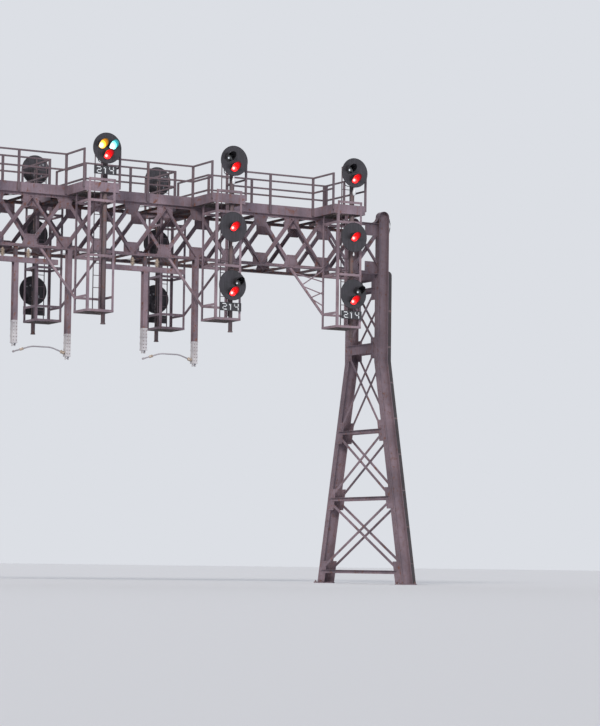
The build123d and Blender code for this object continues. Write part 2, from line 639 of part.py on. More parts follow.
def mast_clamps(mast):
    """The clamps that hold the mast to the cage's front rings."""
    return [clamp(mast, CHORD_TOP - drop - CAGE_LEG / 2, CAGE_FRONT) for drop in CAGE_RING_DROPS]


def ladder(mast):
    """A ladder from the cage's floor up through the platform to the top head."""
    middle, y = mast + LADDER_OFFSET, -CAGE_FRONT + LADDER_SETBACK
    foot, top = CAGE_BOTTOM + CAGE_FLOOR_THICKNESS, CHORD_TOP + LADDER_RISE
    half = LADDER_WIDTH / 2
    pieces = [block((middle + s * half, middle + s * (half - LADDER_RAIL_THICKNESS)), around(y, LADDER_RAIL),
                    (foot, top)) for s in (-1, 1)]
    for i in range(1, int((top - foot) // RUNG_PITCH) + 1):
        start = Plane(origin=(middle - half, y, foot + i * RUNG_PITCH), x_dir=(0, 1, 0), z_dir=(1, 0, 0))
        pieces.append(extrude(start * RegularPolygon(RUNG_RADIUS, RUNG_SIDES), LADDER_WIDTH))
    return [join(pieces)]


# Signal heads: a round target with hooded lenses, and a lamp housing behind it
def facing(mast, level, line):
    """A plane that looks to the front, its origin on the head's axis and its y upwards."""
    return Plane(origin=(mast + HEAD_OFFSET, -line, level), x_dir=(1, 0, 0), z_dir=(0, -1, 0))


def lens_places(lamps):
    return [Pos(out * cos(radians(turn)), out * sin(radians(turn))) for out, turn in lamps]


def target(mast, level, _):
    disc = RegularPolygon(TARGET_RADIUS, TARGET_SIDES)
    return [extrude(facing(mast, level, TARGET_LINE) * disc, TARGET_THICKNESS)]


def lamp_housing(mast, level, lamps):
    """A case with a round end behind each lens, joined by straight sides, on its clamp."""
    ends = [place * Circle(LENS_RADIUS + HOUSING_MARGIN) for place in lens_places(lamps)]
    outline = make_hull([edge for end in ends for edge in end.edges()]) if len(ends) > 1 else ends[0]
    back = TARGET_LINE - TARGET_STANDOFF + HOUSING_GAP
    case = extrude(facing(mast, level, back) * outline, TARGET_STANDOFF - HOUSING_GAP)
    return [case.fuse(clamp(mast, level, back))]


def hoods(mast, level, lamps):
    """A sun hood over each lens: a curved sheet, open below."""
    turns = [90 + HOOD_ANGLE * (i / HOOD_SIDES - 0.5) for i in range(HOOD_SIDES + 1)]

    def arc(radius, order):
        return [(radius * cos(radians(turn)), radius * sin(radians(turn))) for turn in order]

    sheet = polygon(arc(HOOD_RADIUS, turns) + arc(HOOD_RADIUS - HOOD_THICKNESS, reversed(turns)))
    front = facing(mast, level, TARGET_LINE + TARGET_THICKNESS)
    return [extrude(front * place * sheet, HOOD_LENGTH) for place in lens_places(lamps)]


def lenses(mast, level, lamps):
    front, disc = facing(mast, level, TARGET_LINE + TARGET_THICKNESS), RegularPolygon(LENS_RADIUS, LENS_SIDES)
    return [extrude(front * place * disc, LENS_THICKNESS) for place in lens_places(lamps)]


def number_plate(mast, head_level, _):
    """A plate below a head, on an arm from the mast."""
    level, line = head_level - PLATE_DROP, CAGE_FRONT + PLATE_STANDOFF
    plate = extrude(facing(mast, level, line) * Rectangle(PLATE_WIDTH, PLATE_HEIGHT), PLATE_THICKNESS)
    arm = block(around(mast + MAST_OFFSET, PLATE_ARM), (-MAST_LINE, -line), around(level, PLATE_ARM))
    return [plate.fuse(arm - mast_bar(mast, MAST_RADIUS, level, 2 * PLATE_ARM))]


# Hangers for the wires, in line with the front truss
def wired_tracks():
    return TRACK_LINES[1:1 + WIRED_TRACKS]


def hanger(x, head, foot):
    """An H section whose flanges face the front and the back."""
    flange = Rectangle(HANGER_WIDTH, HANGER_STEEL)
    flanges = [Pos(0, s * (HANGER_DEPTH - HANGER_STEEL) / 2) * flange for s in (-1, 1)]
    section = Rectangle(HANGER_STEEL, HANGER_DEPTH) + flanges
    return extrude(Pos(x, -HALF_WIDTH, foot) * section, head - foot)


def hanger_feet():
    """Each hanger's x, its head and its foot."""
    wire_foot = TRUSS_SOFFIT - WIRE_HANGER_DROP
    arm_foot = wire_foot - STEADY_HANGER_EXTRA
    wires = [(x, BEAM_TOP - BEAM_DEPTH, wire_foot) for x in wired_tracks()]
    arms = [(x + STEADY_HANGER_OFFSET, TRUSS_SOFFIT, arm_foot) for x in wired_tracks()]
    return wires, arms


def hanger_end(x, foot):
    return block(around(x, HANGER_WIDTH), around(-HALF_WIDTH, HANGER_DEPTH), (foot, foot + HANGER_END_LENGTH))


def hanger_beam(x):
    return block(around(x, BEAM_LENGTH), around(-HALF_WIDTH, BEAM_WIDTH), (BEAM_TOP - BEAM_DEPTH, BEAM_TOP))


def beam_straps(x):
    """Short posts that hang the beam from the chord above: one near each end and one over the hanger."""
    inset = BEAM_LENGTH / 2 - BEAM_STRAP_INSET
    return [block(around(x + offset, BEAM_STRAP), around(-HALF_WIDTH, BEAM_WIDTH), (BEAM_TOP, TRUSS_SOFFIT))
            for offset in (-inset, 0, inset)]


def steady_arm(x, foot):
    """A bent pipe from the foot of its hanger to over the middle of the track on its left."""
    low = foot + STEADY_ARM_FOOT
    high = low + STEADY_ARM_RISE
    first, second = (x - knee * STEADY_HANGER_OFFSET for knee in STEADY_ARM_KNEES)
    points = [(x, low), (first, high), (second, high), (x - STEADY_HANGER_OFFSET, low)]
    path = Plane.XZ.offset(HALF_WIDTH) * FilletPolyline(*points, radius=STEADY_ARM_BEND)
    section = Plane(origin=path @ 0, z_dir=path % 0) * RegularPolygon(STEADY_ARM_RADIUS, STEADY_ARM_SIDES)
    return sweep(section, path) - hanger_end(x, foot)


def main():
    for side, name in ((-1, "front"), (1, "back")):
        save(f"{name}_truss_web", [truss_web(side)])
        save(f"{name}_top_chord", chord(True, side))
        save(f"{name}_bottom_chord", chord(False, side))
    save("top_lateral_bracing", [lateral_bracing(True)])
    save("bottom_lateral_bracing", [lateral_bracing(False)])
    for end, name in ((1, "right"), (-1, "left")):
        save(f"{name}_front_leg", [leg(end, -1)])
        save(f"{name}_back_leg", [leg(end, 1)])
        save(f"{name}_tower_struts", tower_struts(end))
        save(f"{name}_tower_braces", tower_braces(end))
        save(f"{name}_tower_gussets", tower_gussets(end))
    corners = [(end, side) for end in (-1, 1) for side in (-1, 1)]
    save("base_plates", [base_plate(*corner) for corner in corners])
    save("corner_fillets", [corner_fillet(*corner) for corner in corners])
    save("cable_risers", [cable_riser(-1), Rot(0, 0, 180) * cable_riser(-1)])
    save("walkway_bearers", bearers())
    save("walkway_deck", [walkway_deck()])
    save("platform_decks", [board for place in platforms() for board in platform_deck(*place)])
    save("walkway_fascias", walkway_fascias())
    save("platform_side_fascias", [plate for place in platforms() for plate in platform_side_fascias(*place)])
    save("platform_front_fascias", [platform_front_fascia(*place) for place in platforms()])
    save("walkway_railings", railing(-1) + railing(1) + [end_railing(end) for end in (-1, 1)])
    save("platform_railings", [rail for place in platforms() for rail in platform_railings(*place)])
    save("cage_uprights", at_masts(cage_uprights))
    save("cage_rings", at_masts(cage_rings))
    save("cage_braces", at_masts(cage_brace))
    save("cage_floors", at_masts(cage_floor))
    save("mast_pipes", at_masts(mast_pipe))
    save("mast_clamps", at_masts(mast_clamps))
    save("ladders", at_masts(ladder))
    save("number_plates", at_heads(number_plate, first=-1))
    save("targets", at_heads(target))
    save("lamp_housings", at_heads(lamp_housing))
    save("hoods", at_heads(hoods))
    save("lenses", at_heads(lenses))
    wires, arms = hanger_feet()
    save("hanger_beams", [hanger_beam(x) for x in wired_tracks()])
    save("beam_straps", [strap for x in wired_tracks() for strap in beam_straps(x)])
    save("wire_hangers", [hanger(x, head, foot + HANGER_END_LENGTH) for x, head, foot in wires])
    save("steady_arm_hangers", [hanger(x, head, foot + HANGER_END_LENGTH) for x, head, foot in arms])
    save("hanger_ends", [hanger_end(x, foot) for x, _, foot in wires + arms])
    save("steady_arms", [steady_arm(x, foot) for x, _, foot in arms])


if __name__ == "__main__":
    main()
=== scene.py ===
"""Looks for the railway signal gantry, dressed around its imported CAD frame.

The frame gives every place and most sizes. Lengths are metres in the frame and in the classes below; the sizes of
patterns are millimetres. The front faces -Y. The back signals are the front ones after half a turn about Z.
"""
import logging
import math
from dataclasses import dataclass
from enum import Enum
from typing import Any, Iterable, Protocol, Sequence

import bpy
from mathutils import Euler, Matrix, Vector


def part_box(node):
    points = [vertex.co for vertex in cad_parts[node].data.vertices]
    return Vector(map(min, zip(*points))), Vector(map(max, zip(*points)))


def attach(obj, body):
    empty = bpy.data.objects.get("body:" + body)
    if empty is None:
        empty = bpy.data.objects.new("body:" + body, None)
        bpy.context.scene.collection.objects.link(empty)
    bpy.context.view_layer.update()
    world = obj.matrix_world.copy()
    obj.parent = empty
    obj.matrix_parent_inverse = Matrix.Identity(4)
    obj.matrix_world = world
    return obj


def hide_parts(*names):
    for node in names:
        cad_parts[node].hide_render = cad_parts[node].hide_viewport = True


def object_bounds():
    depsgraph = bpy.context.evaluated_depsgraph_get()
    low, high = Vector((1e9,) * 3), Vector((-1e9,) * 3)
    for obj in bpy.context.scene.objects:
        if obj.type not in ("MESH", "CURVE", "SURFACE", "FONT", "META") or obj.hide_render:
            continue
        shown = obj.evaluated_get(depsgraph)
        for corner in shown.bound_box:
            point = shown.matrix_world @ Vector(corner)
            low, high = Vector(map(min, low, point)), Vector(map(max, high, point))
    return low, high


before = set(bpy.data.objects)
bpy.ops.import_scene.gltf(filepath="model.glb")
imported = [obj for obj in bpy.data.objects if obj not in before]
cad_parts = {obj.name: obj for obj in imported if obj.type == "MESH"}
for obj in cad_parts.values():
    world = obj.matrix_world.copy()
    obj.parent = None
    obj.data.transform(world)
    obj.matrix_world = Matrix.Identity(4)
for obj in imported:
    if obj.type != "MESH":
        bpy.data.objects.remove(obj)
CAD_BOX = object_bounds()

LOG = logging.getLogger("gantry")
PHOTO_SIZE = (600, 726)
SENSOR_MM = 36.0
ROOT = "root"
UV_LAYER = "place_on_piece"
UP = Vector((0.0, 0.0, 1.0))


def linear(hex_colour: str) -> tuple[float, float, float, float]:
    """Turns an sRGB hex colour into the linear colour that shaders take.

    Args:
        hex_colour: six hex digits, with or without a hash in front.

    Returns:
        Red, green and blue, and full opacity.
    """
    digits = hex_colour.lstrip("#")
    parts = [int(digits[i:i + 2], 16) / 255 for i in (0, 2, 4)]
    red, green, blue = (c / 12.92 if c <= 0.04045 else ((c + 0.055) / 1.055) ** 2.4 for c in parts)
    return red, green, blue, 1.0


def per_size(size_mm: float) -> float:
    """Gives the texture scale at which one feature of a pattern is this many millimetres wide."""
    return 1000.0 / size_mm


def add_node(owner: bpy.types.Material | bpy.types.World, kind: str, settings: dict[str, Any] | None = None,
             inputs: dict[str | int, Any] | None = None) -> bpy.types.Node:
    """Adds one shader node with its settings and links.

    Args:
        owner: the material or world whose node tree gets the node.
        kind: Blender's name for the node type.
        settings: the node's own properties, by name.
        inputs: for a socket's name or number, either a value, or a node or output socket to link from.

    Returns:
        The new node.
    """
    tree = owner.node_tree
    node = tree.nodes.new(kind)
    for name, value in (settings or {}).items():
        setattr(node, name, value)
    for key, value in (inputs or {}).items():
        socket = node.inputs[key] if isinstance(key, int) else next(
            s for s in node.inputs if s.name == key and s.enabled)
        if isinstance(value, bpy.types.Node):
            value = next(s for s in value.outputs if s.enabled)
        if isinstance(value, bpy.types.NodeSocket):
            tree.links.new(value, socket)
        else:
            socket.default_value = value
    return node


def new_material(name: str) -> bpy.types.Material:
    """Makes an empty node material.

    Args:
        name: the material's name.

    Returns:
        The new material.
    """
    material = bpy.data.materials.new(name)
    material.use_nodes = True
    material.node_tree.nodes.clear()
    return material


class Rust(Enum):
    """How much rust shows through a coat, as the level that the rust's pattern has to reach."""

    LIGHT = 0.66
    MEDIUM = 0.60
    HEAVY = 0.54


class Aspect(Enum):
    """What one lens shows: the glass, the glow, its strength, the bright heart and the heart's reach in metres."""

    RED = ("#F0182A", "#FF1206", 2.2, "#FFE4DC", 0.050)
    YELLOW = ("#F09A18", "#FFB838", 2.0, "#FFFBE4", 0.100)
    GREEN = ("#20BCD0", "#8CFFF4", 1.7, "#FFFFFF", 0.120)
    # Unlit: the glass has no glow, only a small pale painted glint, a painted reflection on its face.
    DARK = ("#0C0D10", "#000000", 1.5, "#E4ECF4", 0.030)


@dataclass(frozen=True)
class WeatheredSteelPaint:
    """Rolled structural steel, brush-painted decades ago.

    The paint has chalked to a mauve-grey, so it is rough with no gloss. Rust breaks through in blotches, and
    rain drags it down in streaks. Soot darkens it in broad clouds. The chalk's grain is drawn far coarser than
    it is, so that it shows.
    """

    name: str
    paint: str = "#85747F"
    soot: str = "#544A54"
    rust_colour: str = "#744836"
    rust: Rust = Rust.MEDIUM
    cloud_mm: float = 900.0
    blotch_mm: float = 130.0
    streak_mm: float = 35.0
    streak_length_mm: float = 700.0
    grain_mm: float = 9.0

    def build(self) -> bpy.types.Material:
        """Makes the material.

        Returns:
            The painted steel's material.
        """
        m = new_material(self.name)
        place = add_node(m, "ShaderNodeTexCoord").outputs["Object"]
        clouds = add_node(m, "ShaderNodeTexNoise", inputs={
            "Vector": place, "Scale": per_size(self.cloud_mm), "Detail": 4.0, "Roughness": 0.6})
        blotches = add_node(m, "ShaderNodeTexNoise", inputs={
            "Vector": place, "Scale": per_size(self.blotch_mm), "Detail": 7.0, "Roughness": 0.68,
            "Distortion": 0.4})
        stretched = add_node(m, "ShaderNodeMapping", inputs={"Vector": place, "Scale": (
            per_size(self.streak_mm), per_size(self.streak_mm), per_size(self.streak_length_mm))})
        streaks = add_node(m, "ShaderNodeTexNoise", inputs={"Vector": stretched, "Scale": 1.0, "Detail": 3.0})
        grain = add_node(m, "ShaderNodeTexNoise", inputs={
            "Vector": place, "Scale": per_size(self.grain_mm), "Detail": 3.0, "Roughness": 0.7})
        sooty = add_node(m, "ShaderNodeMapRange", inputs={
            "Value": clouds, "From Min": 0.38, "From Max": 0.66, "To Min": 0.0, "To Max": 0.75})
        coat = add_node(m, "ShaderNodeMix", {"data_type": "RGBA"}, {
            "Factor": sooty, "A": linear(self.paint), "B": linear(self.soot)})
        dragged = add_node(m, "ShaderNodeMapRange", inputs={
            "Value": streaks, "From Min": 0.52, "From Max": 0.72, "To Min": 0.0, "To Max": 0.38})
        streaked = add_node(m, "ShaderNodeMix", {"data_type": "RGBA"}, {
            "Factor": dragged, "A": coat, "B": linear(self.rust_colour)})
        bare = add_node(m, "ShaderNodeMapRange", inputs={
            "Value": blotches, "From Min": self.rust.value - 0.03, "From Max": self.rust.value + 0.05,
            "To Min": 0.0, "To Max": 0.85})
        speck = add_node(m, "ShaderNodeMapRange", inputs={
            "Value": grain, "From Min": 0.3, "From Max": 0.7, "To Min": 0.82, "To Max": 1.16})
        rusty = add_node(m, "ShaderNodeMix", {"data_type": "RGBA"}, {
            "Factor": bare, "A": streaked, "B": linear(self.rust_colour)})
        surface = add_node(m, "ShaderNodeMix", {"data_type": "RGBA", "blend_type": "MULTIPLY"}, {
            "Factor": 1.0, "A": rusty, "B": add_node(m, "ShaderNodeCombineColor", inputs={
                "Red": speck, "Green": speck, "Blue": speck})})
        dull = add_node(m, "ShaderNodeMapRange", inputs={
            "Value": blotches, "From Min": 0.3, "From Max": 0.7, "To Min": 0.55, "To Max": 0.88})
        height = add_node(m, "ShaderNodeMath", {"operation": "ADD"}, {0: bare, 1: grain})
        bump = add_node(m, "ShaderNodeBump", inputs={"Height": height, "Strength": 0.35, "Distance": 0.0015})
        shader = add_node(m, "ShaderNodeBsdfPrincipled", inputs={
            "Base Color": surface, "Roughness": dull, "Metallic": 0.0, "IOR": 1.5, "Normal": bump})
        add_node(m, "ShaderNodeOutputMaterial", inputs={"Surface": shader})
        return m


@dataclass(frozen=True)
class BakedEnamel:
    """Pressed sheet steel, sprayed with matt enamel and baked.

    It starts near black. Sun and dust have faded it unevenly, and rain has washed faint runs down it. The
    orange peel is drawn a few times coarser than it is, so that it shows.
    """

    name: str
    enamel: str = "#232227"
    dust: str = "#45424B"
    dust_mm: float = 160.0
    run_mm: float = 22.0
    run_length_mm: float = 420.0
    orange_peel_mm: float = 6.0

    def build(self) -> bpy.types.Material:
        """Makes the material.

        Returns:
            The enamel's material.
        """
        m = new_material(self.name)
        place = add_node(m, "ShaderNodeTexCoord").outputs["Object"]
        dusty = add_node(m, "ShaderNodeTexNoise", inputs={
            "Vector": place, "Scale": per_size(self.dust_mm), "Detail": 6.0, "Roughness": 0.65})
        stretched = add_node(m, "ShaderNodeMapping", inputs={"Vector": place, "Scale": (
            per_size(self.run_mm), per_size(self.run_mm), per_size(self.run_length_mm))})
        runs = add_node(m, "ShaderNodeTexNoise", inputs={"Vector": stretched, "Scale": 1.0, "Detail": 2.0})
        amount = add_node(m, "ShaderNodeMath", {"operation": "MULTIPLY"}, {0: dusty, 1: runs})
        faded = add_node(m, "ShaderNodeMapRange", inputs={
            "Value": amount, "From Min": 0.16, "From Max": 0.38, "To Min": 0.0, "To Max": 0.6})
        colour = add_node(m, "ShaderNodeMix", {"data_type": "RGBA"}, {
            "Factor": faded, "A": linear(self.enamel), "B": linear(self.dust)})
        peel = add_node(m, "ShaderNodeTexNoise", inputs={
            "Vector": place, "Scale": per_size(self.orange_peel_mm), "Detail": 2.0})
        dull = add_node(m, "ShaderNodeMapRange", inputs={
            "Value": dusty, "From Min": 0.3, "From Max": 0.7, "To Min": 0.42, "To Max": 0.68})
        bump = add_node(m, "ShaderNodeBump", inputs={"Height": peel, "Strength": 0.12, "Distance": 0.0006})
        shader = add_node(m, "ShaderNodeBsdfPrincipled", inputs={
            "Base Color": colour, "Roughness": dull, "Metallic": 0.0, "IOR": 1.5, "Normal": bump})
        add_node(m, "ShaderNodeOutputMaterial", inputs={"Surface": shader})
        return m


@dataclass(frozen=True)
class DippedZinc:
    """Steel bar dipped in molten zinc, dulled by weather.

    Spangles a centimetre or two across show as patches of light and dark grey metal, under a film of brown
    dirt that doesn't shine as metal does.
    """

    name: str
    light: str = "#8A8788"
    dark: str = "#5F5A5C"
    dirt: str = "#52443E"
    spangle_mm: float = 14.0
    dirt_mm: float = 320.0

    def build(self) -> bpy.types.Material:
        """Makes the material.

        Returns:
            The zinc's material.
        """
        m = new_material(self.name)
        place = add_node(m, "ShaderNodeTexCoord").outputs["Object"]
        spangles = add_node(m, "ShaderNodeTexVoronoi", inputs={
            "Vector": place, "Scale": per_size(self.spangle_mm), "Randomness": 1.0})
        film = add_node(m, "ShaderNodeTexNoise", inputs={
            "Vector": place, "Scale": per_size(self.dirt_mm), "Detail": 6.0, "Roughness": 0.65})
        zinc = add_node(m, "ShaderNodeMix", {"data_type": "RGBA"}, {
            "Factor": spangles, "A": linear(self.light), "B": linear(self.dark)})
        dirty = add_node(m, "ShaderNodeMapRange", inputs={
            "Value": film, "From Min": 0.4, "From Max": 0.62, "To Min": 0.15, "To Max": 0.85})
        colour = add_node(m, "ShaderNodeMix", {"data_type": "RGBA"}, {
            "Factor": dirty, "A": zinc, "B": linear(self.dirt)})
        dull = add_node(m, "ShaderNodeMapRange", inputs={
            "Value": film, "From Min": 0.3, "From Max": 0.7, "To Min": 0.45, "To Max": 0.8})
        bump = add_node(m, "ShaderNodeBump", inputs={"Height": film, "Strength": 0.2, "Distance": 0.001})
        bright = add_node(m, "ShaderNodeMath", {"operation": "SUBTRACT"}, {0: 1.0, 1: dirty})
        shader = add_node(m, "ShaderNodeBsdfPrincipled", inputs={
            "Base Color": colour, "Roughness": dull, "Metallic": bright, "Normal": bump})
        add_node(m, "ShaderNodeOutputMaterial", inputs={"Surface": shader})
        return m


@dataclass(frozen=True)
class PressedLensGlass:
    """Coloured glass pressed in a mould with stepped rings, lit or unlit from behind.

    The rings bend the lamp's light to a bright heart, and the rest of the glass glows evenly. Unlit, the glass is
    nearly black, with one small painted glint: a pale glow that stands in for a reflection from the mirror behind
    the lamp.
    """

    aspect: Aspect
    ring_mm: float = 12.0
    ior: float = 1.52
    # Where the heart sits on a lit lens, and where the painted glint sits on an unlit one.
    heart_and_painted_glint_place: tuple[float, float, float] = (0.035, 0.03, 0.0)

    @property
    def name(self) -> str:
        """The material's name."""
        return f"pressed_lens_glass_{self.aspect.name.lower()}"

    def build(self) -> bpy.types.Material:
        """Makes the material.

        Returns:
            The lens's material.
        """
        glass, glow, strength, heart_and_painted_glint_colour, reach = self.aspect.value
        m = new_material(self.name)
        uv = add_node(m, "ShaderNodeUVMap", {"uv_map": UV_LAYER}).outputs["UV"]
        out = add_node(m, "ShaderNodeVectorMath", {"operation": "LENGTH"}, {"Vector": uv}).outputs["Value"]
        rings = add_node(m, "ShaderNodeMath", {"operation": "PINGPONG"}, {0: out, 1: self.ring_mm / 2000.0})
        bump = add_node(m, "ShaderNodeBump", inputs={"Height": rings, "Strength": 0.4, "Distance": 0.6})
        shifted = add_node(m, "ShaderNodeMapping", inputs={"Vector": uv, "Location": self.heart_and_painted_glint_place})
        near = add_node(m, "ShaderNodeVectorMath", {"operation": "LENGTH"}, {"Vector": shifted}).outputs["Value"]
        # The heart: on a lit lens the lamp's hot spot; on an unlit lens a small pale painted glint, a painted
        # reflection.
        heart = add_node(m, "ShaderNodeMapRange", {"interpolation_type": "SMOOTHSTEP"}, {
            "Value": near, "From Min": 0.1 * reach, "From Max": reach, "To Min": 0.9, "To Max": 0.0})
        colour = add_node(m, "ShaderNodeMix", {"data_type": "RGBA"}, {
            "Factor": heart, "A": linear(glow), "B": linear(heart_and_painted_glint_colour)})
        shader = add_node(m, "ShaderNodeBsdfPrincipled", inputs={
            "Base Color": linear(glass), "Roughness": 0.08, "IOR": self.ior, "Coat Weight": 0.6,
            "Coat Roughness": 0.03, "Emission Color": colour, "Emission Strength": strength, "Normal": bump})
        add_node(m, "ShaderNodeOutputMaterial", inputs={"Surface": shader})
        return m


@dataclass(frozen=True)
class LampLitEnamel:
    """The inside of a hood over a lit lens: black enamel with the lens's spilt light painted on it as a glow.

    The spill is strongest beside the lens and fades towards the hood's rim. The orange peel is drawn coarser
    than it is, so that it shows.
    """

    aspect: Aspect
    enamel: str = "#1E1D21"
    strength: float = 0.8
    orange_peel_mm: float = 6.0

    def build(self) -> bpy.types.Material:
        """Makes the material.

        Returns:
            The lit enamel's material.
        """
        m = new_material(f"lamp_lit_enamel_{self.aspect.name.lower()}")
        uv = add_node(m, "ShaderNodeUVMap", {"uv_map": UV_LAYER}).outputs["UV"]
        along = add_node(m, "ShaderNodeSeparateXYZ", inputs={"Vector": uv}).outputs["Y"]
        # Painted light: the lining itself glows with the lens's spill, brightest beside the lens and fading to the
        # rim.
        spill = add_node(m, "ShaderNodeMapRange", {"interpolation_type": "SMOOTHSTEP"}, {
            "Value": along, "From Min": 0.1, "From Max": 1.05, "To Min": self.strength, "To Max": 0.0})
        place = add_node(m, "ShaderNodeTexCoord").outputs["Object"]
        peel = add_node(m, "ShaderNodeTexNoise", inputs={
            "Vector": place, "Scale": per_size(self.orange_peel_mm)})
        bump = add_node(m, "ShaderNodeBump", inputs={"Height": peel, "Strength": 0.12, "Distance": 0.0006})
        shader = add_node(m, "ShaderNodeBsdfPrincipled", inputs={
            "Base Color": linear(self.enamel), "Roughness": 0.5, "IOR": 1.5, "Normal": bump,
            "Emission Color": linear(self.aspect.value[0]), "Emission Strength": spill})
        add_node(m, "ShaderNodeOutputMaterial", inputs={"Surface": shader})
        return m


@dataclass(frozen=True)
class SignWhite:
    """White vitreous enamel figures on a plate: a hard, even gloss under a thin film of soot."""

    name: str = "white_enamel_figures"
    white: str = "#DCE1E6"
    soot: str = "#9A9C9F"
    soot_mm: float = 70.0

    def build(self) -> bpy.types.Material:
        """Makes the material.

        Returns:
            The white enamel's material.
        """
        m = new_material(self.name)
        place = add_node(m, "ShaderNodeTexCoord").outputs["Object"]
        film = add_node(m, "ShaderNodeTexNoise", inputs={
            "Vector": place, "Scale": per_size(self.soot_mm), "Detail": 5.0})
        amount = add_node(m, "ShaderNodeMapRange", inputs={
            "Value": film, "From Min": 0.45, "From Max": 0.75, "To Min": 0.0, "To Max": 0.8})
        colour = add_node(m, "ShaderNodeMix", {"data_type": "RGBA"}, {
            "Factor": amount, "A": linear(self.white), "B": linear(self.soot)})
        dull = add_node(m, "ShaderNodeMapRange", inputs={
            "Value": film, "From Min": 0.3, "From Max": 0.7, "To Min": 0.2, "To Max": 0.5})
        shader = add_node(m, "ShaderNodeBsdfPrincipled", inputs={
            "Base Color": colour, "Roughness": dull, "IOR": 1.5})
        add_node(m, "ShaderNodeOutputMaterial", inputs={"Surface": shader})
        return m


@dataclass(frozen=True)
class GlazedPorcelain:
    """Wet-process porcelain with a fired glaze: an even, hard gloss with a little soot on it."""

    name: str = "glazed_porcelain"
    glaze: str = "#B9A99A"
    soot: str = "#6E6258"
    soot_mm: float = 40.0

    def build(self) -> bpy.types.Material:
        """Makes the material.

        Returns:
            The porcelain's material.
        """
        m = new_material(self.name)
        place = add_node(m, "ShaderNodeTexCoord").outputs["Object"]
        clouds = add_node(m, "ShaderNodeTexNoise", inputs={
            "Vector": place, "Scale": per_size(self.soot_mm), "Detail": 4.0})
        amount = add_node(m, "ShaderNodeMapRange", inputs={
            "Value": clouds, "From Min": 0.4, "From Max": 0.7, "To Min": 0.0, "To Max": 0.7})
        colour = add_node(m, "ShaderNodeMix", {"data_type": "RGBA"}, {
            "Factor": amount, "A": linear(self.glaze), "B": linear(self.soot)})
        dull = add_node(m, "ShaderNodeMapRange", inputs={
            "Value": clouds, "From Min": 0.3, "From Max": 0.7, "To Min": 0.12, "To Max": 0.4})
        shader = add_node(m, "ShaderNodeBsdfPrincipled", inputs={
            "Base Color": colour, "Roughness": dull, "IOR": 1.5})
        add_node(m, "ShaderNodeOutputMaterial", inputs={"Surface": shader})
        return m


@dataclass(frozen=True)
class StudioPaper:
    """A matt paper floor, pale and even. Its tooth is drawn coarse, so that it can show at all."""

    name: str = "studio_paper"
    colour: str = "#DADCE0"
    tooth_mm: float = 60.0

    def build(self) -> bpy.types.Material:
        """Makes the material.

        Returns:
            The paper's material.
        """
        m = new_material(self.name)
        place = add_node(m, "ShaderNodeTexCoord").outputs["Object"]
        tooth = add_node(m, "ShaderNodeTexNoise", inputs={"Vector": place, "Scale": per_size(self.tooth_mm)})
        bump = add_node(m, "ShaderNodeBump", inputs={"Height": tooth, "Strength": 0.03, "Distance": 0.002})
        shader = add_node(m, "ShaderNodeBsdfPrincipled", inputs={
            "Base Color": linear(self.colour), "Roughness": 0.9, "IOR": 1.4, "Normal": bump})
        add_node(m, "ShaderNodeOutputMaterial", inputs={"Surface": shader})
        return m


class Slot(Enum):
    """The record's material slots."""

    STEEL = "weathered_steel"
    GRATING = "deck_grating"
    TARGET = "target_black"
    PLATE = "plate_black"
    LENS = "signal_lens"
    PALE = "pale_grey_paint"


class Finish(Protocol):
    """Any of the finishes above."""

    def build(self) -> bpy.types.Material:
        """Makes the material."""


class Coat:
    """A finish that is ready for use, and the record's slot that it fills, if it fills one."""

    def __init__(self, finish: Finish, slot: Slot | None = None) -> None:
        """Builds the finish, and keeps the slot that it fills."""
        self.material = finish.build()
        self.slot = slot


